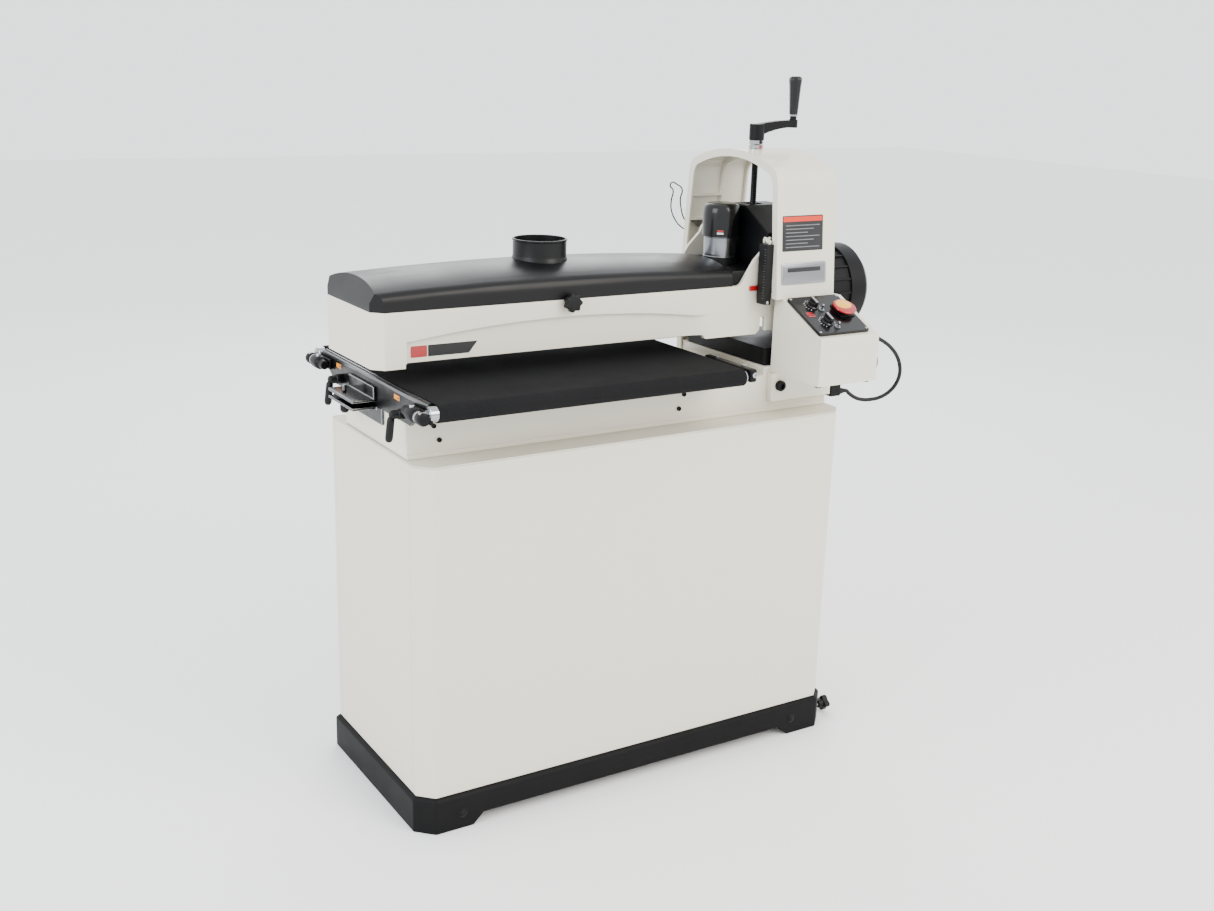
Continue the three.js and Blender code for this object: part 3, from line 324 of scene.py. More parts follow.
# Oiled black oxide: dark, still metallic, cloudy where it has been handled.
OILED_PLATE = Finish(
    "oiled black oxide on steel plate", "#262627", 0.3, metallic=0.85, grain_mm=1.2,
    depth_mm=0.02, mottle=0.75, mottle_mm=26.0, shade="#0E0E0F",
)
# Spun aluminium: soft rings of light round the axis.
SPUN_ALUMINIUM = Finish(
    "spun aluminium", "#8F9194", 0.22, metallic=1.0, pattern=Pattern.BRUSHED,
    grain_mm=0.9, depth_mm=0.01, stretch=(0.06, 0.06, 1.0), mottle=0.2,
    mottle_mm=30.0, shade="#55575A",
)
# Turned brass: yellow metal with fine rings.
BRASS = Finish(
    "machined brass", "#B8964F", 0.25, metallic=1.0, pattern=Pattern.BRUSHED,
    grain_mm=0.8, depth_mm=0.01, stretch=(0.1, 0.1, 1.0), mottle=0.2,
)
# Moulded nylon: black, with a fine moulded grain and a dull sheen.
NYLON = Finish(
    "moulded black nylon", "#080809", 0.46, specular=0.2, ior=1.53, pattern=Pattern.GRAINED,
    grain_mm=0.8, depth_mm=0.03, mottle=0.3, shade="#09090A",
)
# Polished ABS: black and smooth, with a clear highlight.
GLOSS_ABS = Finish(
    "polished black ABS", "#070708", 0.25, specular=0.25, ior=1.53, grain_mm=6.0, depth_mm=0.01,
    mottle=0.2, coat=0.15,
)
# Polished ABS coloured right through: a deep red with a clear highlight.
RED_ABS = Finish(
    "polished red ABS", "#9E0209", 0.28, ior=1.53, grain_mm=6.0, depth_mm=0.01,
    mottle=0.12, mottle_mm=30.0, shade="#7A0810", coat=0.3,
)
# The same plastic in yellow.
YELLOW_ABS = Finish(
    "polished yellow ABS", "#E8A812", 0.3, ior=1.53, grain_mm=6.0, depth_mm=0.01,
    mottle=0.1, mottle_mm=30.0, shade="#C9981A", coat=0.3,
)
# Neoprene: black, faintly uneven, with a soft sheen.
SOFT_RUBBER = Finish(
    "neoprene lead sheath", "#0A0A0A", 0.5, specular=0.3, ior=1.52, grain_mm=1.4, depth_mm=0.03,
    mottle=0.3, mottle_mm=20.0,
)
# Amber vinyl: flat, even colour with a slight gloss.
AMBER_VINYL = Finish(
    "amber vinyl sticker", "#E08600", 0.4, grain_mm=3.0, depth_mm=0.01, mottle=0.15,
    mottle_mm=12.0, shade="#B97408",
)
# Orange print under a clear film.
ORANGE_VINYL = Finish(
    "orange vinyl print", "#D12C04", 0.4, grain_mm=3.0, depth_mm=0.01, mottle=0.1,
    mottle_mm=12.0, shade="#B0361A",
)
# Black print under a clear film.
BLACK_VINYL = Finish(
    "black vinyl print", "#0C0C0D", 0.42, grain_mm=3.0, depth_mm=0.01, mottle=0.2,
    mottle_mm=12.0,
)
# Grey ink: matt and thin.
GREY_PRINT = Finish(
    "grey ink on vinyl", "#6F7073", 0.5, grain_mm=2.0, depth_mm=0.005, mottle=0.2,
    mottle_mm=8.0,
)
# White ink: matt and thin, a little worn.
WHITE_PRINT = Finish(
    "white ink on plastic", "#D8D8D6", 0.45, grain_mm=2.0, depth_mm=0.005, mottle=0.1,
    mottle_mm=8.0, shade="#8A8A88",
)
# Anodised aluminium brushed lengthwise: a broad streaked highlight.
SATIN_BADGE = Finish(
    "satin anodised badge", "#9C9DA0", 0.3, metallic=0.9, pattern=Pattern.BRUSHED,
    grain_mm=0.9, depth_mm=0.008, stretch=(0.05, 1.0, 1.0), mottle=0.2,
    mottle_mm=20.0, shade="#66686B",
)


# ---------------------------------------------------------------- workpieces
class Plane(Enum):
    """The two axes an outline is drawn in, and the one it is raised along."""

    YZ = (1, 2, 0)
    XZ = (0, 2, 1)
    XY = (0, 1, 2)


class Blank:
    """A workpiece in millimetres, made of closed shells, that ends as one object."""

    def __init__(self) -> None:
        """Starts empty."""
        self.bm = bmesh.new()

    def _settle(self, verts: list, slot: int, soften: float, steps: int = 2) -> list:
        """Gives new geometry its finish and softens its sharp edges.

        Args:
            verts: The new vertices.
            slot: Number of the finish.
            soften: Width of the rounded edge.
            steps: Faces across the rounded edge.

        Returns:
            The vertices of the new geometry.
        """
        known = list(dict.fromkeys(verts))
        for face in {f for v in known for f in v.link_faces}:
            face.material_index = slot
        if not soften:
            return known
        edges = dict.fromkeys(e for v in known for e in v.link_edges)
        sharp = [e for e in edges if e.is_manifold and e.calc_face_angle(0) > SHARP_RADIANS]
        made = bmesh.ops.bevel(
            self.bm, geom=sharp, offset=soften, offset_type="OFFSET", segments=steps,
            profile=0.5, affect="EDGES", clamp_overlap=True, material=-1,
        )
        return [v for v in known if v.is_valid] + made["verts"]

    def block(self, low: Point, high: Point, slot: int = 0, soften: float = 0.0) -> list:
        """Adds a rectangular block.

        Args:
            low: Its lowest corner.
            high: Its highest corner.
            slot: Number of the finish.
            soften: Width of the rounded edges.

        Returns:
            Its vertices.
        """
        low, high = Vector(low), Vector(high)
        size = high - low
        place = Matrix.Translation((low + high) / 2) @ Matrix.Diagonal((*size, 1))
        made = bmesh.ops.create_cube(self.bm, size=1, matrix=place)
        return self._settle(made["verts"], slot, soften)

    def rod(
        self, radius: float, start: Point, end: Point, sides: int = 32,
        tip: float | None = None, slot: int = 0, soften: float = 0.0,
    ) -> list:
        """Adds a round bar or a cone between two points.

        Args:
            radius: At the start.
            start: Middle of the first end.
            end: Middle of the other end.
            sides: Faces round it.
            tip: Radius at the end, where it differs.
            slot: Number of the finish.
            soften: Width of the rounded rims.

        Returns:
            Its vertices.
        """
        start, end = Vector(start), Vector(end)
        along = end - start
        place = Matrix.Translation((start + end) / 2) @ along.to_track_quat(
            "Z", "Y"
        ).to_matrix().to_4x4()
        made = bmesh.ops.create_cone(
            self.bm, cap_ends=True, segments=sides, radius1=radius,
            radius2=radius if tip is None else tip, depth=along.length, matrix=place,
        )
        return self._settle(made["verts"], slot, soften)

    def turned(
        self, profile: Sequence[Point], centre: Point, axis: Point = (0, 0, 1),
        steps: int = 48, slot: int = 0,
    ) -> list:
        """Spins a half outline round an axis.

        Args:
            profile: Radius and height pairs, closed on the axis or on itself.
            centre: Where height is zero.
            axis: Direction of the height.
            steps: Faces round it.
            slot: Number of the finish.

        Returns:
            Its vertices.
        """
        turn = Vector(axis).to_track_quat("Z", "Y").to_matrix().to_4x4()
        place = Matrix.Translation(Vector(centre)) @ turn
        row = [self.bm.verts.new(place @ Vector((r, 0, h))) for r, h in profile]
        links = [self.bm.edges.new(pair) for pair in zip(row, row[1:])]
        if profile[0][0] > 0.001:
            links.append(self.bm.edges.new((row[-1], row[0])))
        before = set(self.bm.verts) - set(row)
        bmesh.ops.spin(
            self.bm, geom=row + links, cent=Vector(centre), axis=Vector(axis),
            angle=FULL_TURN, steps=steps, use_merge=True,
        )
        fresh = [v for v in self.bm.verts if v not in before]
        bmesh.ops.remove_doubles(self.bm, verts=fresh, dist=MERGE_MM)
        fresh = [v for v in self.bm.verts if v not in before]
        return self._settle(fresh, slot, 0.0)

    def slab(
        self, outline: Sequence[Point], plane: Plane, span: Point, slot: int = 0,
        soften: float = 0.0, steps: int = 2,
    ) -> list:
        """Raises a flat outline into a slab.

        Args:
            outline: Pairs in the plane's own axes.
            plane: Where it is drawn.
            span: Where it starts and ends along the third axis.
            slot: Number of the finish.
            soften: Width of the rounded edges.
            steps: Faces across a rounded edge.

        Returns:
            Its vertices.
        """
        first, second, along = plane.value
        verts = []
        for a, b in outline:
            point = [0.0, 0.0, 0.0]
            point[first], point[second], point[along] = a, b, span[0]
            verts.append(self.bm.verts.new(point))
        face = self.bm.faces.new(verts)
        made = bmesh.ops.extrude_face_region(self.bm, geom=[face])
        raised = [v for v in made["geom"] if isinstance(v, bmesh.types.BMVert)]
        step = [0.0, 0.0, 0.0]
        step[along] = span[1] - span[0]
        bmesh.ops.translate(self.bm, verts=raised, vec=step)
        return self._settle(verts + raised, slot, soften, steps)

    def place(self, verts: list, matrix: Matrix) -> None:
        """Moves vertices by a matrix."""
        bmesh.ops.transform(self.bm, matrix=matrix, verts=[v for v in verts if v.is_valid])

    def finish(
        self, name: str, finishes: Sequence[Finish], body: str, slot: str,
        hides: Sequence[str] = (), sharp: float = 32.0,
    ) -> bpy.types.Object:
        """Ends the workpiece as one object in its place.

        Args:
            name: The piece's name.
            finishes: One for each slot number that was used.
            body: The body it rides on.
            slot: The record's slot; not used.
            hides: The solids it stands for.
            sharp: Edges turned further than these degrees stay crisp.

        Returns:
            The finished object.
        """
        bmesh.ops.transform(self.bm, matrix=TO_FRAME, verts=self.bm.verts)
        bmesh.ops.recalc_face_normals(self.bm, faces=self.bm.faces)
        return show(self.bm, name, finishes, body, hides, sharp)


def ordered(bm: bmesh.types.BMesh) -> None:
    """Puts a mesh's parts in the same order each run, which a merged spin doesn't.

    Args:
        bm: The mesh.
    """
    places = sorted(bm.verts, key=lambda v: [round(c, ORDER_DIGITS) for c in v.co])
    rank = {v: i for i, v in enumerate(places)}
    bm.verts.sort(key=rank.__getitem__)
    bm.verts.index_update()
    for parts in (bm.edges, bm.faces):
        corners = sorted(parts, key=lambda p: sorted(v.index for v in p.verts))
        rank = {p: i for i, p in enumerate(corners)}
        parts.sort(key=rank.__getitem__)


def show(
    bm: bmesh.types.BMesh, name: str, finishes: Sequence[Finish], body: str,
    hides: Sequence[str] = (), sharp: float = 32.0,
) -> bpy.types.Object:
    """Turns a mesh in metres into an object that rides on its body.

    Args:
        bm: The mesh, which is freed.
        name: The piece's name.
        finishes: One for each slot number.
        body: The body it rides on.
        hides: The solids it stands for.
        sharp: Edges turned further than these degrees stay crisp.

    Returns:
        The object.
    """
    ordered(bm)
    for face in bm.faces:
        face.smooth = True
    for edge in bm.edges:
        edge.smooth = edge.is_manifold and edge.calc_face_angle(0) < math.radians(sharp)
    mesh = bpy.data.meshes.new(name)
    bm.to_mesh(mesh)
    bm.free()
    piece = bpy.data.objects.new(name, mesh)
    bpy.context.scene.collection.objects.link(piece)
    for each in finishes:
        mesh.materials.append(each.material())
    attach(piece, body)
    if hides:
        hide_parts(*hides)
    log.info("%s rides on %s", name, body)
    return piece


def softened(
    node: str, finish: Finish, round_mm: float = 1.5, shortest_mm: float = 4.0,
    steps: int = 2, sharp: float = 32.0, edge_finish: Finish | None = None,
) -> bpy.types.Object:
    """A copy of a solid with its long sharp edges rounded, which stands for it.

    Args:
        node: The solid.
        finish: Its finish.
        round_mm: Width of the rounded edge.
        shortest_mm: Edges below this length, as round a small hole, stay as they are.
        steps: Faces across the rounded edge.
        sharp: Edges turned further than these degrees stay crisp.
        edge_finish: Finish of the rounded edges: where the edge is rubbed bright on the side
            plates, and on the zinc brackets the zinc's own bright colour beside faces darkened
            as painted shade.

    Returns:
        The new piece.
    """
    bm = bmesh.new()
    bm.from_mesh(frame["nodes"][node].data)
    bmesh.ops.remove_doubles(bm, verts=bm.verts, dist=SOLID_MERGE_MM * MM)
    bmesh.ops.dissolve_limit(
        bm, angle_limit=math.radians(FLAT_DEGREES), verts=bm.verts, edges=bm.edges
    )
    for face in bm.faces:
        face.material_index = 0
    edges = [
        e
        for e in bm.edges
        if e.is_manifold
        and e.calc_face_angle(0) > math.radians(SOFTENED_DEGREES)
        and e.calc_length() > shortest_mm * MM
    ]
    if round_mm:
        made = bmesh.ops.bevel(
            bm, geom=edges, offset=round_mm * MM, offset_type="OFFSET", segments=steps,
            profile=0.5, affect="EDGES", clamp_overlap=True, material=-1,
        )
        for face in made["faces"] if edge_finish else ():
            face.material_index = 1
    finishes = [finish, edge_finish] if edge_finish else [finish]
    piece = show(bm, f"{node}_softened", finishes, BODY_OF[node], [node], sharp)
    # Weighted normals keep the large faces flat beside their rounded edges.
    weigh = piece.modifiers.new("flat faces", "WEIGHTED_NORMAL")
    weigh.keep_sharp = True
    return piece


def dressed(node: str, finish: Finish) -> None:
    """Gives a solid that stays as it is a better finish.

    Args:
        node: The solid.
        finish: Its finish.
    """
    mesh = frame["nodes"][node].data
    mesh.materials.clear()
    mesh.materials.append(finish.material())
    log.info("%s is dressed in %s", node, finish.name)


def arc(
    centre: Point, radius: float, start: float, end: float, steps: int
) -> list[tuple[float, float]]:
    """Points on an arc.

    Args:
        centre: Its middle.
        radius: Its radius.
        start: First angle in degrees.
        end: Last angle in degrees.
        steps: Chords between them.

    Returns:
        The points, both ends among them.
    """
    angles = (math.radians(start + (end - start) * i / steps) for i in range(steps + 1))
    return [(centre[0] + radius * math.cos(a), centre[1] + radius * math.sin(a)) for a in angles]


def rounded(low: Point, high: Point, corner: float, steps: int = 5) -> list:
    """The outline of a rectangle with round corners.

    Args:
        low: Its lowest corner.
        high: Its highest corner.
        corner: Radius of the corners.
        steps: Chords in each corner.

    Returns:
        The outline's points.
    """
    (a, b), (c, d) = low, high
    r = corner
    return [
        *arc((c - r, b + r), r, -90, 0, steps),
        *arc((c - r, d - r), r, 0, 90, steps),
        *arc((a + r, d - r), r, 90, 180, steps),
        *arc((a + r, b + r), r, 180, 270, steps),
    ]


def lobed(radius: float, lobes: int, depth: float, steps: int = 10) -> list:
    """The outline of a knob with finger lobes.

    Args:
        radius: Out to a lobe's tip.
        lobes: How many.
        depth: From a tip to a hollow.
        steps: Chords in each lobe.

    Returns:
        The outline's points.
    """
    outline = []
    for i in range(lobes * steps):
        turn = FULL_TURN * i / (lobes * steps)
        r = radius - depth * (1 - math.cos(lobes * turn)) / 2
        outline.append((r * math.cos(turn), r * math.sin(turn)))
    return outline


# ---------------------------------------------------------------- studio
@dataclass
class Studio:
    """The camera, the floor and the soft lights."""

    eye: tuple[float, float, float] = (-1324.5, -2143.3, 1320.7)
    heading: float = 32.225
    dip: float = 16.328
    roll: float = 1.708
    lens: float = 41.136

    def camera(self) -> None:
        """Puts the camera where it sees the left end and the infeed side."""
        h, d, r = (math.radians(a) for a in (self.heading, self.dip, self.roll))
        forward = Vector(
            (math.sin(h) * math.cos(d), math.cos(h) * math.cos(d), -math.sin(d))
        )
        level = Vector((math.cos(h), -math.sin(h), 0))
        above = level.cross(forward)
        right = math.cos(r) * level + math.sin(r) * above
        up = math.cos(r) * above - math.sin(r) * level
        data = bpy.data.cameras.new("camera")
        data.lens = self.lens
        data.sensor_width = 36
        camera = bpy.data.objects.new("camera", data)
        turn = Matrix((right, up, -forward)).transposed().to_4x4()
        camera.matrix_world = Matrix.Translation(TO_FRAME @ Vector(self.eye)) @ turn
        bpy.context.scene.collection.objects.link(camera)
        bpy.context.scene.camera = camera

    def light(
        self, name: str, place: Point, aim: Point, size: float, watts: float, tint: Point
    ) -> None:
        """Adds one square soft light.

        Args:
            name: The light's name.
            place: Where it stands, in metres.
            aim: What it faces, in metres.
            size: Its side, in metres.
            watts: Its power.
            tint: Its colour.
        """
        data = bpy.data.lights.new(name, "AREA")
        data.shape = "SQUARE"
        data.size = size
        data.energy = watts
        data.color = tint
        lamp = bpy.data.objects.new(name, data)
        lamp.location = place
        lamp.rotation_euler = (Vector(aim) - Vector(place)).to_track_quat("-Z", "Y").to_euler()
        bpy.context.scene.collection.objects.link(lamp)

    def build(self) -> None:
        """Makes the floor, the sky and the lights."""
        bm = bmesh.new()
        bmesh.ops.create_grid(bm, x_segments=1, y_segments=1, size=14)
        mesh = bpy.data.meshes.new("studio_floor")
        bm.to_mesh(mesh)
        bm.free()
        floor = bpy.data.objects.new("studio_floor", mesh)
        paper = Finish(
            "matt white paper", "#F4F4F3", 0.9, grain_mm=6.0, depth_mm=0.01,
            mottle=0.02, mottle_mm=900.0, shade="#C9C9C9",
        )
        mesh.materials.append(paper.material())
        bpy.context.scene.collection.objects.link(floor)
        world = bpy.data.worlds.new("studio")
        world.use_nodes = True
        world.node_tree.nodes["Background"].inputs["Color"].default_value = (0.95, 0.975, 1, 1)
        world.node_tree.nodes["Background"].inputs["Strength"].default_value = 2.15
        bpy.context.scene.world = world
        target = (0, 0, 0.75)
        self.light("key_light", (1.4, -3.4, 3.0), target, 2.2, 150, (1.0, 0.93, 0.83))
        self.light("left_light", (-3.4, -0.6, 2.2), target, 2.0, 90, (0.86, 0.92, 1.0))
        self.light("back_light", (1.6, 3.2, 2.8), target, 2.0, 60, (1.0, 1.0, 1.0))


# ---------------------------------------------------------------- lead
@dataclass
class Lead:
    """The cable from the control box down to the conveyor gearmotor."""

    diameter: float = 7.5
    route: tuple[tuple[float, float, float], ...] = (
        (455.6, -185, 818),
        (475, -185, 817.5),
        (492, -185, 814),
        (508, -185, 806.5),
        (524, -185, 798),
        (541, -185, 789),
        (559, -185, 776),
        (574, -185, 760),
        (583.5, -185, 742),
        (587, -184, 723),
        (583.5, -181, 704),
        (573, -177, 688.5),
        (556, -169, 675.5),
        (538, -161, 670.5),
        (520, -153.5, 670.5),
        (507, -147, 675),
        (498, -141.5, 682),
        (492, -138.2, 687.8),
        (485.2, -138, 688.6),
    )

    def build(self) -> None:
        """Makes the cable as one smooth open curve."""
        data = bpy.data.curves.new("gearmotor_lead", "CURVE")
        data.dimensions = "3D"
        data.bevel_depth = self.diameter / 2 * MM
        data.bevel_resolution = 4
        data.use_fill_caps = True
        data.resolution_u = 8
        spline = data.splines.new("BEZIER")
        spline.bezier_points.add(len(self.route) - 1)
        for knot, point in zip(spline.bezier_points, self.route):
            knot.co = TO_FRAME @ Vector(point)
            knot.handle_left_type = knot.handle_right_type = "AUTO"
        data.materials.append(SOFT_RUBBER.material())
        lead = bpy.data.objects.new("gearmotor_lead", data)
        bpy.context.scene.collection.objects.link(lead)
        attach(lead, BODY_OF["conveyor_lead"])
        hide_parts("conveyor_lead")


def extent(node: str) -> tuple[Vector, Vector]:
    """A solid's two corners in millimetres from the middle of the stand.

    Args:
        node: The solid.

    Returns:
        Its lowest and highest corners.
    """
    back = TO_FRAME.inverted()
    low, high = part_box(node)
    return back @ Vector(low), back @ Vector(high)


def oval(half_x: float, half_y: float, centre: Point = (0, 0), steps: int = 40) -> list:
    """The outline of an ellipse.

    Args:
        half_x: Half its width.
        half_y: Half its height.
        centre: Its middle.
        steps: Chords round it.

    Returns:
        The outline's points.
    """
    turns = (FULL_TURN * i / steps for i in range(steps))
    return [(centre[0] + half_x * math.cos(t), centre[1] + half_y * math.sin(t)) for t in turns]


def shifted(outline: Sequence[Point], a: float, b: float) -> list:
    """An outline moved in its own plane."""
    return [(p + a, q + b) for p, q in outline]


def flute(verts: list, centre: Point, count: int, depth: float) -> None:
    """Presses upright flutes into a turned shape.

    Args:
        verts: Its vertices.
        centre: X and Y of its upright axis.
        count: How many flutes.
        depth: How deep, as a share of the radius.
    """
    for vert in verts:
        out = Vector((vert.co.x - centre[0], vert.co.y - centre[1]))
        if out.length < 1:
            continue
        share = 1 - depth * (1 - math.cos(count * math.atan2(out.y, out.x))) / 2
        vert.co.x = centre[0] + out.x * share
        vert.co.y = centre[1] + out.y * share


SOCKET_SCREW = [(0, 0.5), (0.5, 0.5), (0.55, 0.9), (0.88, 0.9), (1, 0.75), (1, -0.3), (0, -0.3)]
DOME = [(0, 0.5), (0.45, 0.44), (0.8, 0.26), (0.96, 0.06), (1, 0), (1, -0.25), (0, -0.25)]


def scaled(profile: Sequence[Point], size: float) -> list:
    """A profile drawn for a radius of one, at its real size."""
    return [(r * size, h * size) for r, h in profile]


# ---------------------------------------------------------------- sub-assemblies
@dataclass
class Stand:
    """The closed sheet-metal stand on its pressed plinth."""

    bolts: tuple[tuple[float, float], ...] = ((-373.6, 29.5), (359.5, 33.0))
    bolt: float = 7.0
    star: float = 16.3
    star_lobes: int = 4
    star_depth: float = 4.6
    star_width: float = 14.0

    def build(self) -> None:
        """Softens the panels and plinth and makes the fixings."""
        softened("plinth_base", PLINTH_BLACK, 2.5, 6.0, 3)
        for side in ("front", "left", "right", "rear"):
            softened(f"stand_{side}_panel", WHITE, 1.1, 6.0)
        softened("stand_top_plate", WHITE, 1.0, 6.0)
        self._bolts()
        self._star_knob()

    def _bolts(self) -> None:
        """Domed bolts through the front of the plinth, each on a washer."""
        part = Blank()
        face = extent("plinth_base")[0].y
        for x, z in self.bolts:
            washer = [(0, 0.8), (8.6, 0.8), (9.2, 0.2), (9.2, -0.5), (0, -0.5)]
            part.turned(washer, (x, face, z), (0, -1, 0), 28)
            part.turned(scaled(DOME, self.bolt), (x, face - 0.9, z), (0, -1, 0), 28)
        part.finish("plinth_bolts", [CAST_BLACK], "stand", "black_casting")

    def _star_knob(self) -> None:
        """The four-lobed knob and its stud at the right end of the plinth."""
        low, high = extent("plinth_knob")
        middle = (low + high) / 2
        part = Blank()
        lobes = lobed(self.star, self.star_lobes, self.star_depth)
        face = high.x - self.star_width
        part.slab(
            shifted(lobes, middle.y, middle.z), Plane.YZ, (face, high.x - 0.2), soften=2.6,
            steps=3,
        )
        part.rod(8.0, (face - 8, middle.y, middle.z), (face + 1, middle.y, middle.z), tip=10.5)
        rings = [(0, 0)]
        for i in range(12):
            rings += [(3.1, i * 1.2), (3.6, i * 1.2 + 0.6)]
        rings += [(3.1, 14.8), (0, 14.8)]
        part.turned(rings, (low.x, middle.y, middle.z), (1, 0, 0), 20, slot=1)
        part.finish(
            "plinth_star_knob_moulded", [NYLON, CHROME], BODY_OF["plinth_knob"],
            "black_plastic", ["plinth_knob"],
        )


@dataclass
class Bed:
    """The cast bed and its front fixings."""

    screws: tuple[tuple[float, float], ...] = ((-395, 719), (-385, 694), (105, 720), (95, 694))
    screw: float = 4.2
    foot_high: float = 7.5

    def build(self) -> None:
        """Softens the casting and makes what is screwed to it."""
        softened("bed_frame", WHITE_CAST, 3.0, 8.0, 3)
        low, high = extent("bed_frame")
        part = Blank()
        part.block(
            (low.x + 1, low.y - 1.4, low.z), (high.x - 1, low.y + 0.5, low.z + self.foot_high),
            soften=0.6,
        )
        part.finish("bed_foot_bead", [WHITE_CAST], "stand", "white_paint")
        part = Blank()
        for x, z in self.screws:
            part.turned(scaled(SOCKET_SCREW, self.screw), (x, low.y, z), (0, -1, 0), 24)
        part.finish("bed_front_screws", [CAST_BLACK], "stand", "black_casting")


@dataclass
class Conveyor:
    """The belt, its rollers and the plates, blocks and levers at its ends."""

    roller_radius: float = 13.0
    axle_radius: float = 5.0
    roller_inset: float = 14.0
    strip_high: float = 0.4
    strip_deep: float = 5.0
    sticker: tuple[float, float] = (22.0, 8.0)
    sticker_places: tuple[float, ...] = (144.0, -111.0)
    sticker_z: float = 768.0
    lever_axis_z: float = 748.0
    wheel_radius: float = 18.0
    block_round: float = 5.0

    def build(self) -> None:
        """Builds the conveyor from the belt outwards."""
        softened("conveyor_belt", BELT_GRIT, 0.0)
        dressed("conveyor_table", GROUND_STEEL)
        for node in ("take_up_roller", "drive_roller"):
            self._roller(node)
        for side in ("left", "right"):
            softened(
                f"conveyor_side_plate_{side}", OILED_PLATE, 0.9, edge_finish=GROUND_STEEL
            )
            self._edge_strip(side)
            for end in ("front", "rear"):
                node = f"bearing_block_{end}_{side}"
                if side == "left":
                    self._tensioner(node, -1 if end == "front" else 1)
                    continue
                softened(node, CAST_BLACK, self.block_round, 5.0, 4)
                self._block_screws(node)
        for node in ("outboard_bracket", "parallelism_plate"):
            # The brackets are bright zinc: their faces take the zinc darkened as painted shade,
            # and their rounded edges keep the zinc's own bright colour.
            softened(node, ZINC_IN_PAINTED_SHADE, 1.6, 3.0, 3, edge_finish=BRIGHT_ZINC)
        self._dial()
        for node in ("lock_lever_front", "lock_lever_rear"):
            self._lever(node)
        self._stickers()

    def _roller(self, node: str) -> None:
        """One chromed roller with stepped axle ends.

        Args:
            node: The solid it stands for.
        """
        low, high = extent(node)
        middle, length = (low + high) / 2, high.x - low.x
        r, a, inset = self.roller_radius, self.axle_radius, self.roller_inset
        half = [(0, 0), (a - 0.6, 0), (a, 0.6), (a, inset), (r - 2.2, inset)]
        half += [(r - 2.2, inset + 1.5), (r - 0.8, inset + 1.5), (r, inset + 2.3)]
        profile = half + [(q, length - h) for q, h in reversed(half)]
        part = Blank()
        part.turned(profile, (low.x, middle.y, middle.z), (1, 0, 0), 56)
        part.finish(f"{node}_ground", [CHROME], BODY_OF[node], "chrome", [node])

    def _edge_strip(self, side: str) -> None:
        """The bright rubbed top edge of a side plate.

        Args:
            side: left or right.
        """
        low, high = extent(f"conveyor_side_plate_{side}")
        part = Blank()
        out = low.x - 0.3 if side == "left" else low.x
        part.block(
            (out, low.y + 2, high.z - self.strip_deep),
            (high.x - 0.6, high.y - 2, high.z + self.strip_high), soften=0.25,
        )
        part.finish(f"side_plate_{side}_bright_edge", [GROUND_STEEL], "stand", "steel")

    def _tensioner(self, node: str, way: int) -> None:
        """A roller's outboard carrier with its round adjusting barrel.

        Args:
            node: The solid it stands for.
            way: Minus one at the front, one at the rear.
        """
        low, high = extent(node)
        length = high.y - low.y
        start = high.y if way < 0 else low.y
        x, z = (low.x + high.x) / 2, (low.z + high.z) / 2
        part = Blank()
        foot = (high.x - 6, low.y, low.z + 3)
        part.block(foot, (high.x, high.y, high.z - 3), soften=1.8)
        barrel = [(0, 0.2), (6.6, 0.2), (8, 1.6), (8, 17), (11.2, 20), (12, 23), (12, 42)]
        barrel += [(11.2, 45), (8.8, 48), (8.8, 52), (0, 52)]
        part.turned(barrel, (x, start, z), (0, way, 0), 40)
        ring = [(0, 51), (9.6, 51), (9.6, 55), (8, 56), (8, 59), (0, 59)]
        part.turned(ring, (x, start, z), (0, way, 0), 40, slot=1)
        cap = [(0, 58), (9.8, 58), (10.6, 59), (10.6, length - 5), (9, length - 1.2)]
        cap += [(6, length - 0.2), (0, length - 0.2)]
        part.turned(cap, (x, start, z), (0, way, 0), 40)
        part.turned(
            scaled(SOCKET_SCREW, 4.4), (x - 1, start + way * 30, z + 11.4), (0, 0, 1), 24, slot=1
        )
        part.finish(
            f"{node}_tensioner", [CAST_BLACK, CHROME], BODY_OF[node], "black_casting", [node], 40
        )

    def _block_screws(self, node: str) -> None:
        """Two socket screws in the top of a bearing block and one in its end.

        Args:
            node: The block.
        """
        low, high = extent(node)
        x = (low.x + high.x) / 2
        part = Blank()
        for share in (0.22, 0.78):
            y = low.y + (high.y - low.y) * share
            part.turned(scaled(SOCKET_SCREW, 4.0), (x, y, high.z - 0.5), (0, 0, 1), 24)
        front = "front" in node
        end, way = (low.y + 0.4, -1) if front else (high.y - 0.4, 1)
        z = (low.z + high.z) / 2 + 2
        part.turned(scaled(SOCKET_SCREW, 5.0), (x, end, z), (0, way, 0), 24)
        part.finish(f"{node}_screws", [CHROME], "stand", "chrome")

    def _dial(self) -> None:
        """The fluted levelling wheel on its threaded stem."""
        low, high = extent("parallelism_dial")
        shelf = extent("outboard_bracket")[1].z
        plate = extent("parallelism_plate")[0].z
        x, y = (low.x + high.x) / 2, (low.y + high.y) / 2
        part = Blank()
        fluted = shifted(lobed(self.wheel_radius - 0.1, 20, 1.5, 6), x, y)
        part.slab(fluted, Plane.XY, (shelf + 0.4, plate - 0.4), soften=0.9)
        tip = [(0, 0), (5, 0), (8, 4), (8, 12), (6.5, 16), (4, 17), (0, 17)]
        part.turned(tip, (x, y, low.z), (0, 0, 1), 32)
        stem = [(0, 0)]
        for i in range(int((high.z - low.z - 16) / 1.25)):
            stem += [(3.5, i * 1.25), (4.0, i * 1.25 + 0.6)]
        stem += [(3.2, high.z - low.z - 15.5), (0, high.z - low.z - 15)]
        part.turned(stem, (x, y, low.z + 15), (0, 0, 1), 24, slot=1)
        part.finish(
            "levelling_wheel", [NYLON, GROUND_STEEL], BODY_OF["parallelism_dial"], "steel",
            ["parallelism_dial"],
        )

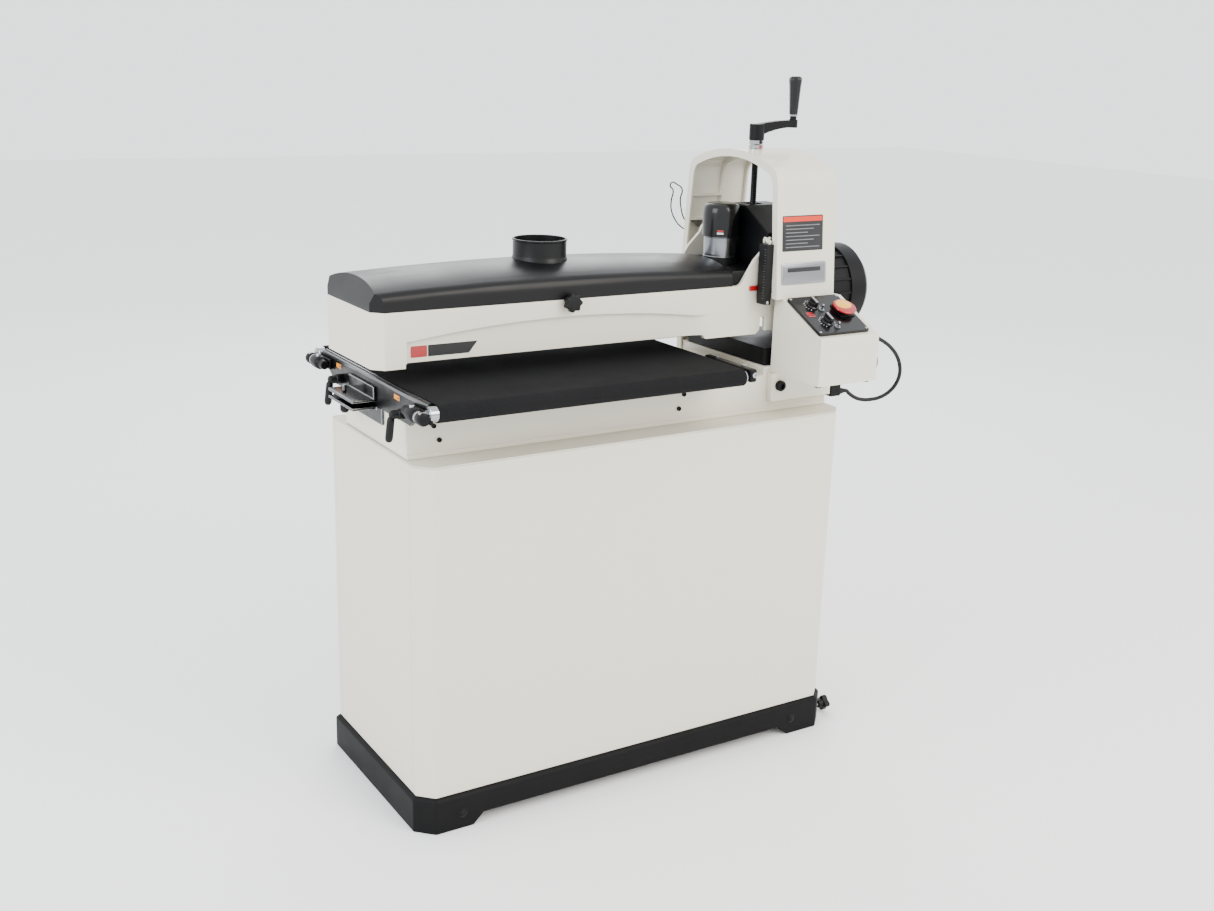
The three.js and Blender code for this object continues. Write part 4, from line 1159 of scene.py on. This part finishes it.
    def _lever(self, node: str) -> None:
        """One lock lever: a round knuckle with a swelling handle below it.

        Args:
            node: The solid it stands for.
        """
        low, high = extent(node)
        y, z = (low.y + high.y) / 2, self.lever_axis_z
        face, outer = high.x, high.x - 20
        part = Blank()
        hub = [(0, -6), (3.6, -5.6), (6.2, -4), (7.4, -1), (7.4, 8), (8.8, 9.5), (8.8, 18.8)]
        hub += [(7.8, 20), (0, 20)]
        part.turned(hub, (outer, y, z), (1, 0, 0), 36)
        part.rod(3.2, (face - 1, y, z), (face, y, z), 16, slot=1)
        grip = [(0, 3), (3.6, 3.4), (5.6, 5.6), (6.2, 9), (6.4, 24), (6.4, 39), (5.4, 43)]
        grip += [(3.4, 45.2), (0, 45.8)]
        verts = part.turned(grip, (0, 0, 0), (0, 0, -1), 32)
        lean = Matrix.Rotation(0.12, 4, "Y")
        part.place(verts, Matrix.Translation((outer - 2.2, y, z + 0.2)) @ lean)
        part.finish(
            f"{node}_moulded", [NYLON, CHROME], BODY_OF[node], "black_plastic", [node], 40
        )

    def _stickers(self) -> None:
        """Two plain amber stickers on the outer face of the left plate."""
        face = extent("conveyor_side_plate_left")[0].x
        wide, high = self.sticker
        part = Blank()
        for y in self.sticker_places:
            corner = (y - wide / 2, self.sticker_z - high / 2)
            other = (y + wide / 2, self.sticker_z + high / 2)
            part.slab(rounded(corner, other, 1.0), Plane.YZ, (face - 0.35, face + 0.1))
            line = rounded((corner[0] + 2, corner[1] + 3), (corner[0] + 9, other[1] - 3), 0.6)
            part.slab(line, Plane.YZ, (face - 0.5, face), slot=1)
        part.finish("side_plate_stickers", [AMBER_VINYL, BLACK_VINYL], "stand", "black_plastic")


@dataclass
class Lift:
    """The column, the arched shroud, the screw, the crank and the hose hanger."""

    pitch: float = 4.0
    thread: float = 6.5
    root: float = 5.7
    collar: float = 13.5
    nut: float = 11.0
    badge: tuple[float, float, float, float] = (297, 403, 911, 951)
    plate: tuple[float, float, float, float] = (299, 395, 972, 1037)
    front_foot: tuple[float, float] = (-157.0, 885.3)
    front_back: float = 17.0
    front_rise: float = 204.7
    wire: float = 1.4
    hanger: tuple[tuple[float, float], ...] = (
        (146, 977),
        (166, 980),
        (190, 992),
        (206, 1012),
        (207, 1029),
        (202, 1050),
        (213, 1059),
        (208, 1065),
        (188, 1063),
        (170, 1054),
        (175, 1037),
        (171, 1017),
        (162, 1001),
        (146, 991),
    )

    def build(self) -> None:
        """Builds the lift from the column up."""
        softened("column", CAST_BLACK, 2.5, 6.0, 3)
        softened("shroud", WHITE_CAST, 1.6, 3.0, 3)
        softened("crank_arm", CAST_BLACK, 1.8, 3.0, 3)
        self._screw()
        self._grip()
        self._hanger()
        self._scale()
        self._front_plates()
        self._inner_screws()

    def _screw(self) -> None:
        """The elevation screw with its lock nut and its two-part collar."""
        low, high = extent("elevation_screw")
        x, y = (low.x + high.x) / 2, (low.y + high.y) / 2
        crown = extent("shroud")[1].z
        part = Blank()
        thread = [(0, 0)]
        turns = int((crown - 20 - low.z) / self.pitch)
        for i in range(turns):
            thread += [(self.root, i * self.pitch), (self.thread, (i + 0.5) * self.pitch)]
        thread += [(self.thread, turns * self.pitch), (self.thread, high.z - low.z)]
        thread += [(0, high.z - low.z)]
        part.turned(thread, (x, y, low.z), (0, 0, 1), 32)
        part.rod(self.nut, (x, y, crown - 16), (x, y, crown - 3), 6, slot=1, soften=0.8)
        for start in (0.4, 8.6):
            ring = [(6.4, 0), (self.collar - 0.7, 0), (self.collar, 0.7), (self.collar, 6.9)]
            ring += [(self.collar - 0.7, 7.6), (6.4, 7.6)]
            part.turned(ring, (x, y, crown + start), (0, 0, 1), 40, slot=1)
        part.rod(3.4, (x, y - 9, crown + 12.5), (x, y - 13.9, crown + 12.5), 16, slot=2)
        part.rod(3.0, (x, y - 9, crown + 4.2), (x, y - 13.7, crown + 4.2), 16, slot=3)
        part.finish(
            "elevation_screw_turned", [OILED_PLATE, CHROME, NYLON, RED_ABS],
            BODY_OF["elevation_screw"], "steel", ["elevation_screw"],
        )

    def _grip(self) -> None:
        """The fluted tapering grip with its bright ferrule."""
        low, high = extent("crank_grip")
        x, y, tall = (low.x + high.x) / 2, (low.y + high.y) / 2, high.z - low.z
        part = Blank()
        profile = [(4.7, 3.6), (7.6, 3.6), (8.3, 6), (9.2, 22), (11.3, tall - 19)]
        profile += [(12.3, tall - 10), (12.5, tall - 7), (12.1, tall - 3.4)]
        profile += [(10.4, tall - 1), (8, tall), (4.7, tall)]
        verts = part.turned(profile, (x, y, low.z), (0, 0, 1), 80)
        flute(verts, (x, y), 10, 0.07)
        ferrule = [(4.7, 0), (7.4, 0), (8, 0.6), (8, 3.2), (7.4, 3.8), (4.7, 3.8)]
        part.turned(ferrule, (x, y, low.z), (0, 0, 1), 32, slot=1)
        cap = [(0, -3), (4.9, -3), (4.9, -0.6), (3.4, 0), (0, 0)]
        part.turned(cap, (x, y, high.z - 0.4), (0, 0, 1), 32, slot=1)
        part.finish(
            "crank_grip_moulded", [GLOSS_ABS, CHROME], BODY_OF["crank_grip"], "black_plastic",
            ["crank_grip"], 40,
        )

    def _hanger(self) -> None:
        """The sprung wire that the dust hose hangs in."""
        low, high = extent("hose_hanger_wire")
        x = (low.x + high.x) / 2
        data = bpy.data.curves.new("hose_hanger_bent", "CURVE")
        data.dimensions = "3D"
        data.bevel_depth = self.wire * MM
        data.bevel_resolution = 4
        data.use_fill_caps = True
        spline = data.splines.new("BEZIER")
        spline.bezier_points.add(len(self.hanger) - 1)
        for knot, (y, z) in zip(spline.bezier_points, self.hanger):
            knot.co = TO_FRAME @ Vector((x, y, z))
            knot.handle_left_type = knot.handle_right_type = "AUTO"
        data.materials.append(OILED_PLATE.material())
        hanger = bpy.data.objects.new("hose_hanger_bent", data)
        bpy.context.scene.collection.objects.link(hanger)
        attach(hanger, "stand")
        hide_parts("hose_hanger_wire")

    def _scale(self) -> None:
        """The depth scale with its plain graduations and its two fixings."""
        softened("depth_scale", NYLON, 1.0)
        low, high = extent("depth_scale")
        part = Blank()
        for i in range(19):
            z = low.z + 12 + i * 5
            wide = 6.0 if i % 2 == 0 else 3.5
            start = (low.x - 0.2, low.y + 2, z - 0.25)
            part.block(start, (low.x + 0.1, low.y + 2 + wide, z + 0.25))
        part.turned(
            scaled(DOME, 3.4), (low.x + 8, low.y + 0.2, low.z + 3.9), (0, -1, 0), 20, slot=1
        )
        part.finish("depth_scale_marks", [GREY_PRINT, CHROME], "stand", "chrome")
        part = Blank()
        hook = [(0, 0), (22, 6), (26, 1), (26, -5), (20, -6), (18, -1), (2, -7)]
        outline = [(low.y + 4 + a * 0.8, high.z + 6 + b) for a, b in hook]
        part.slab(outline, Plane.YZ, (low.x + 8, low.x + 13), soften=0.8)
        part.finish("depth_scale_top_clip", [WHITE_CAST], "stand", "white_paint")

    def _front_plates(self) -> None:
        """The plain badge and the plain data plate on the shroud's front leg."""
        lean = math.atan2(self.front_back, self.front_rise)
        part = Blank()
        for box, thick, slot in ((self.badge, 1.6, 0), (self.plate, 0.5, 1)):
            left, right, low, high = box
            wide, tall = right - left, high - low
            frame_verts = part.slab(
                rounded((-wide / 2, -tall / 2), (wide / 2, tall / 2), 4.5 if slot == 0 else 2),
                Plane.XY, (0, thick), slot=slot, soften=0.5 if slot == 0 else 0.15,
            )
            if slot == 0:
                inset = rounded((-wide / 2 + 4, -tall / 2 + 4), (wide / 2 - 4, tall / 2 - 4), 3)
                frame_verts += part.slab(inset, Plane.XY, (thick - 0.2, thick + 0.4), 3, 0.2)
                bar = rounded((-wide / 2 + 14, 3), (wide / 2 - 14, 11), 1.5)
                frame_verts += part.slab(bar, Plane.XY, (thick, thick + 0.9), 2, 0.2)
            else:
                bar = rounded((-wide / 2 + 2, tall / 2 - 11), (wide / 2 - 2, tall / 2 - 2), 1)
                frame_verts += part.slab(bar, Plane.XY, (thick - 0.2, thick + 0.25), 4)
                for i in range(7):
                    z = tall / 2 - 18 - i * 6.6
                    short = 8 + 14 * ((i * 7) % 3)
                    line = rounded((-wide / 2 + 8, z - 0.8), (wide / 2 - short, z + 0.8), 0.4, 2)
                    frame_verts += part.slab(line, Plane.XY, (thick - 0.2, thick + 0.15), 5)
            middle_z = (low + high) / 2
            foot_y, foot_z = self.front_foot
            y = foot_y + self.front_back * (middle_z - foot_z) / self.front_rise
            turn = Matrix.Rotation(math.radians(90) - lean, 4, "X")
            spot = Matrix.Translation(((left + right) / 2, y + 0.25, middle_z))
            part.place(frame_verts, spot @ turn)
        part.finish(
            "shroud_front_plates",
            [SATIN_BADGE, BLACK_VINYL, BLACK_VINYL, SPUN_ALUMINIUM, ORANGE_VINYL, GREY_PRINT],
            "stand", "aluminium",
        )

    def _inner_screws(self) -> None:
        """The bolt under the control box's bracket and one inside the rear leg."""
        low = extent("box_bracket")[0]
        part = Blank()
        part.turned(scaled(SOCKET_SCREW, 10), (low.x + 19, low.y, low.z + 30), (0, -1, 0), 32)
        part.turned(scaled(DOME, 3.5), (330, 139, 1068), (0, -1, 0), 20)
        part.finish("bracket_bolt_and_leg_screw", [CAST_BLACK], "stand", "black_casting")


@dataclass
class Head:
    """The housing, the cover, the drum, both motors and the depth pointer."""

    port_bore: float = 45.0
    port_radius: float = 47.5
    port_lip: float = 1.2
    star: float = 16.9
    star_lobes: int = 7
    motor_rings: tuple[float, ...] = (14, 26, 38, 50, 62)
    ring_half: float = 1.6
    spokes: int = 8
    can_tall: float = 51.0
    mark_degrees: float = -128.0
    stripe: tuple[float, float, float, float] = (-421, -300, 829, 848)
    stripe_split: float = -392
    recess_depth: float = 8.0
    cap_radius: float = 35.5
    apron: tuple[float, float, float, float] = (300.0, 329.5, 818.0, 889.0)

    def build(self) -> None:
        """Builds the head from the housing outwards."""
        softened("head_housing", WHITE_CAST, 1.8, 5.0, 3, 26)
        softened("dust_cover", COVER_BLACK, 1.2, 5.0, 2, 26)
        softened("carriage", CAST_BLACK, 2.2, 5.0, 3)
        softened("depth_pointer", RED_ABS, 0.6, 1.5)
        softened("drum_motor", CAST_BLACK, 1.2, 4.0)
        dressed("cover_hinge_pin", GROUND_STEEL)
        dressed("drum", SPUN_ALUMINIUM)
        dressed("abrasive_wrap", DRUM_GRIT)
        dressed("drum_shaft", GROUND_STEEL)
        dressed("outboard_bearing", GROUND_STEEL)
        dressed("inboard_bearing", GROUND_STEEL)
        dressed("elevation_nut", BRASS)
        for node in ("pressure_roller_front", "pressure_roller_rear"):
            self._pressure_roller(node)
        self._apron()
        self._port()
        self._star_knob()
        self._stripe()
        self._grille()
        self._oscillator()

    def _pressure_roller(self, node: str) -> None:
        """One rubber roller on steel journals.

        Args:
            node: The solid it stands for.
        """
        low, high = extent(node)
        middle, length = (low + high) / 2, high.x - low.x
        radius = (high.z - low.z) / 2
        part = Blank()
        tube = [(3.9, 12), (radius - 1.2, 12), (radius, 13.2), (radius, length - 13.2)]
        tube += [(radius - 1.2, length - 12), (3.9, length - 12)]
        part.turned(tube, (low.x, middle.y, middle.z), (1, 0, 0), 40)
        axle = [(0, 0), (3.4, 0), (4, 0.6), (4, length - 0.6), (3.4, length), (0, length)]
        part.turned(axle, (low.x, middle.y, middle.z), (1, 0, 0), 24, slot=1)
        part.finish(
            f"{node}_covered", [SOFT_RUBBER, GROUND_STEEL], BODY_OF[node], "black_rubber", [node]
        )

    def _apron(self) -> None:
        """The short skirt that carries the housing's front wall over the carriage."""
        wall = extent("head_housing")
        left, right, low, high = self.apron
        front = wall[0].y + 0.5
        part = Blank()
        part.block((left, front, low), (right, front + 8, high), soften=1.5)
        part.finish("housing_apron", [WHITE_CAST], "head", "white_paint")

    def _port(self) -> None:
        """The dust collar, filleted onto the cover, with a rolled lip."""
        low, high = extent("dust_port")
        x, y = (low.x + high.x) / 2, (low.y + high.y) / 2
        bore, r, top = self.port_bore, self.port_radius, high.z - low.z
        lip = r + self.port_lip
        outline = [(bore, -6), (bore, top - 0.8), (bore + 0.8, top), (lip - 0.8, top)]
        outline += [(lip, top - 0.8), (lip, top - 3), (r, top - 4.2), (r, 9.5), (r + 0.5, 6.6)]
        outline += [(r + 1.0, 5), (r + 1.8, 4), (r + 1.8, -6)]
        part = Blank()
        part.turned(outline, (x, y, low.z), (0, 0, 1), 88)
        part.finish(
            "dust_port_moulded", [COVER_BLACK], BODY_OF["dust_port"], "black_plastic",
            ["dust_port"], 40,
        )

    def _star_knob(self) -> None:
        """The lobed knob that latches the cover."""
        low, high = extent("cover_knob")
        x, z = (low.x + high.x) / 2, (low.z + high.z) / 2
        part = Blank()
        lobes = shifted(lobed(self.star, self.star_lobes, 3.4, 8), x, z)
        part.slab(lobes, Plane.XZ, (low.y, low.y + 13), soften=2.4, steps=3)
        neck = [(0, 0), (9, 0), (9, 4), (11, 5), (0, 5)]
        part.turned(neck, (x, high.y - 7.5, z), (0, -1, 0), 32)
        part.rod(3, (x, high.y, z), (x, high.y - 8, z), 20, slot=1)
        part.finish(
            "cover_knob_moulded", [NYLON, CHROME], BODY_OF["cover_knob"], "black_plastic",
            ["cover_knob"],
        )

    def _stripe(self) -> None:
        """A plain two-colour stripe low at the left of the housing's recess."""
        left, right, low, high = self.stripe
        face = extent("head_housing")[0].y + self.recess_depth
        part = Blank()
        first = rounded((left, low), (self.stripe_split, high), 2)
        part.slab(first, Plane.XZ, (face - 0.5, face + 0.2), slot=0)
        bar = [(self.stripe_split + 2, low), (right - 16, low), (right, high)]
        bar += [(self.stripe_split + 2, high)]
        part.slab(bar, Plane.XZ, (face - 0.5, face + 0.2), slot=1)
        part.finish("housing_stripe", [RED_ABS, BLACK_VINYL], "head", "red_plastic")

    def _grille(self) -> None:
        """Rings and spokes on the drum motor's fan end."""
        low, high = extent("drum_motor")
        y, z = (low.y + high.y) / 2, (low.z + high.z) / 2
        part = Blank()
        for ring in self.motor_rings:
            inner, outer = ring - self.ring_half, ring + self.ring_half
            outline = [(inner, -0.8), (inner, -0.1), (outer, -0.1), (outer, -0.8)]
            part.turned(outline, (high.x + 0.1, y, z), (1, 0, 0), 64)
        for i in range(self.spokes):
            bar = part.block(
                (high.x - 0.8, -self.ring_half, 10), (high.x - 0.05, self.ring_half, 64)
            )
            turn = Matrix.Rotation(FULL_TURN * i / self.spokes, 4, "X")
            part.place(bar, Matrix.Translation((0, y, z)) @ turn)
        part.finish("drum_motor_grille", [NYLON], "head", "black_casting")

    def _oscillator(self) -> None:
        """The small gearmotor that moves the drum to and fro, and its cap."""
        low, high = extent("oscillation_motor")
        cap_low, cap_high = extent("oscillation_motor_cap")
        x, y = (cap_low.x + cap_high.x) / 2, (cap_low.y + cap_high.y) / 2
        deck = high.z - self.can_tall
        part = Blank()
        part.block(low, (high.x, high.y, deck), soften=2.0)
        base = [(0, -20), (36, -20), (35.6, -1), (34.8, 4), (33.8, 9), (33, 13), (0, 13)]
        part.turned(base, (x, y, deck), (0, 0, 1), 56)
        band = [(0, 12), (32.6, 12), (32.6, 14), (31.9, 15), (31.9, 49), (32.6, 50), (32.6, 51)]
        band += [(0, 51)]
        part.turned(band, (x, y, deck), (0, 0, 1), 72, slot=1)
        part.finish(
            "oscillation_motor_spun", [CAST_BLACK, SPUN_ALUMINIUM], "head", "aluminium",
            ["oscillation_motor"],
        )
        part = Blank()
        r, tall = self.cap_radius, cap_high.z - cap_low.z
        dome = [(0, 0), (r - 0.8, 0), (r, 0.8), (r, tall - 19), (r - 0.6, tall - 12)]
        dome += [(r - 2.6, tall - 6), (r - 6, tall - 2.2), (r - 11, tall - 0.4), (r - 16, tall)]
        dome += [(0, tall)]
        part.turned(dome, (x, y, cap_low.z), (0, 0, 1), 72)
        for slot, rise in ((1, 10.5), (2, 6.0)):
            mark = part.block((r - 0.6, -6, rise), (r + 0.25, 6, rise + 3.4), slot, 0.1)
            turn = Matrix.Rotation(math.radians(self.mark_degrees), 4, "Z")
            part.place(mark, Matrix.Translation((x, y, cap_low.z)) @ turn)
        part.rod(2.6, (x + 27, y - 9, cap_high.z - 8), (x + 27, y - 9, cap_high.z - 0.3), 16)
        part.finish(
            "oscillation_cap_moulded", [GLOSS_ABS, RED_ABS, WHITE_PRINT], "head",
            "black_plastic", ["oscillation_motor_cap"],
        )


@dataclass
class Controls:
    """The sloping control box, its panel and everything on it, and the gearmotor."""

    slope_y: float = -157.5
    slope_z: float = 885.0
    down: tuple[float, float] = (-0.8953, -0.4455)
    panel_lift: float = 6.6
    knobs: tuple[float, ...] = (33.5, 83.7)
    knob_x: float = 345.0
    toggles: tuple[float, ...] = (48.5, 101.5)
    toggle_x: float = 356.0
    paddle_spot: tuple[float, float] = (402.0, 56.5)
    paddle_size: tuple[float, float] = (23.0, 22.0)
    ticks: int = 15
    tick_start: float = -50.0
    tick_sweep: float = 280.0
    tick_radius: float = 14.2

    def _spot(self, x: float, s: float, lift: float | None = None) -> Matrix:
        """Where a feature stands on the panel, with its local Z square to the slope.

        Args:
            x: Along the panel.
            s: Down the slope from its top.
            lift: Above the box's slope, the panel's own top unless stated.

        Returns:
            The matrix that places it.
        """
        lift = self.panel_lift if lift is None else lift
        dy, dz = self.down
        across = Vector((1, 0, 0))
        up = Vector((0, -dy, -dz))
        out = across.cross(up)
        place = Vector((x, self.slope_y + dy * s, self.slope_z + dz * s)) + out * lift
        turn = Matrix((across, up, out)).transposed().to_4x4()
        return Matrix.Translation(place) @ turn

    def build(self) -> None:
        """Builds the box, the panel and its fittings."""
        softened("control_box", WHITE, 2.4, 5.0, 3)
        softened("control_panel", GLOSS_ABS, 1.4, 2.0, 3)
        softened("box_bracket", WHITE, 1.0)
        softened("conveyor_gearmotor", CAST_BLACK, 2.0, 4.0, 3)
        dressed("box_gland", NYLON)
        dressed("gearmotor_gland", NYLON)
        for node, s in zip(("speed_knob_rear", "speed_knob_front"), self.knobs):
            self._knob(node, s)
        for node, s in zip(("toggle_rear", "toggle_front"), self.toggles):
            self._toggle(node, s)
        self._paddle()
        self._print()
        self._feet()

    def _knob(self, node: str, s: float) -> None:
        """One speed knob with a bright pointer bar.

        Args:
            node: The solid it stands for.
            s: Down the slope.
        """
        part = Blank()
        skirt = [(0, 0.1), (11.6, 0.1), (12, 0.5), (12, 1.4), (10.6, 2.4), (9.8, 3.4)]
        skirt += [(9.3, 9.2), (8.6, 10), (0, 10)]
        verts = part.turned(skirt, (0, 0, 0), (0, 0, 1), 72)
        flute([v for v in verts if v.co.z > 3], (0, 0), 18, 0.05)
        verts += part.block((-2.9, -10.6, 3), (2.9, 10.6, 14.2), 0, 1.0)
        verts += part.block((-2.2, -9.6, 13.6), (2.2, 9.6, 14.8), 1, 0.4)
        verts += part.block((-0.6, 4, 14.5), (0.6, 9.4, 15.0), 2)
        part.place(verts, self._spot(self.knob_x, s))
        part.finish(
            f"{node}_moulded", [GLOSS_ABS, CHROME, WHITE_PRINT], BODY_OF[node],
            "black_plastic", [node],
        )

    def _toggle(self, node: str, s: float) -> None:
        """One bat toggle, and the nut round it on the panel.

        Args:
            node: The solid it stands for.
            s: Down the slope.
        """
        bat = [(0, 0), (1.0, 0), (1.3, 4), (2.2, 10), (2.4, 11.6), (1.9, 12.7), (0, 13)]
        part = Blank()
        verts = part.turned(bat, (0, 0, 0), (0, 0, 1), 24)
        part.place(verts, self._spot(self.toggle_x, s))
        part.finish(f"{node}_turned", [CHROME], BODY_OF[node], "chrome", [node])
        part = Blank()
        verts = part.turned([(2.3, 0), (5.6, 0), (5.6, 2.2), (2.3, 2.2)], (0, 0, 0), steps=6)
        verts += part.turned([(2.4, 2), (3.5, 2), (3.5, 4.2), (2.4, 4.2)], (0, 0, 0), steps=24)
        part.place(verts, self._spot(self.toggle_x, s))
        part.finish(f"{node}_nut", [CHROME], "stand", "chrome")

    def _paddle(self) -> None:
        """The red switch paddle with its yellow middle, on a black surround."""
        a, b = self.paddle_size
        part = Blank()
        verts = part.slab(oval(a, b), Plane.XY, (7.4, 11.8), soften=1.8, steps=3)
        verts += part.block((-13.8, 2, 0.2), (13.8, 18.5, 8), 0, 1.0)
        verts += part.slab(oval(a * 0.74, b * 0.6, (0, b * 0.24)), Plane.XY, (11, 12.4), 1, 0.5)
        part.place(verts, self._spot(*self.paddle_spot))
        part.finish(
            "switch_paddle_moulded", [RED_ABS, YELLOW_ABS], BODY_OF["switch_paddle"],
            "red_plastic", ["switch_paddle"],
        )
        part = Blank()
        verts = part.slab(rounded((-17, -19), (17, 21), 3), Plane.XY, (0, 1.8), soften=0.6)
        part.place(verts, self._spot(*self.paddle_spot))
        part.finish("switch_surround", [NYLON], "stand", "black_plastic")

    def _print(self) -> None:
        """White scale arcs round the knobs, small marks and the panel's screws."""
        part = Blank()
        for s in self.knobs:
            for i in range(self.ticks):
                turn = math.radians(self.tick_start + self.tick_sweep * i / (self.ticks - 1))
                start, long = self.tick_radius, 3.4 if i % 2 == 0 else 2.0
                tick = part.block((start, -0.35, -0.1), (start + long, 0.35, 0.25))
                part.place(tick, self._spot(self.knob_x, s) @ Matrix.Rotation(turn, 4, "Z"))
        for s in (54, 59, 64):
            bar = part.slab(rounded((-8, -1.7), (8, 1.7), 0.5, 2), Plane.XY, (-0.1, 0.25), 1)
            part.place(bar, self._spot(323, s))
        for x, s in ((311, 9), (420, 9), (311, 110), (420, 110)):
            head = part.turned(scaled(DOME, 2.6), (0, 0, 0), steps=20, slot=2)
            part.place(head, self._spot(x, s))
        part.finish("panel_print", [WHITE_PRINT, RED_ABS, CHROME], "stand", "black_plastic")

    def _feet(self) -> None:
        """Two small rubber feet under the front of the box."""
        low, high = extent("control_box")
        part = Blank()
        for x in (low.x + 12, high.x - 12):
            foot = [(0, 0), (6.5, 0), (6.5, -3), (5.6, -4.4), (0, -4.4)]
            part.turned(foot, (x, low.y + 14, low.z + 0.2), (0, 0, 1), 28)
        part.finish("box_feet", [SOFT_RUBBER], "stand", "black_rubber")


def main() -> None:
    """Builds the studio and every sub-assembly in order."""
    studio = Studio()
    studio.camera()
    Lead().build()
    studio.build()
    for assembly in (Stand(), Bed(), Conveyor(), Lift(), Head(), Controls()):
        assembly.build()
        log.info("%s is done", type(assembly).__name__)


if __name__ == "__main__":
    logging.basicConfig(level=logging.INFO, format="%(name)s: %(message)s")
    main()
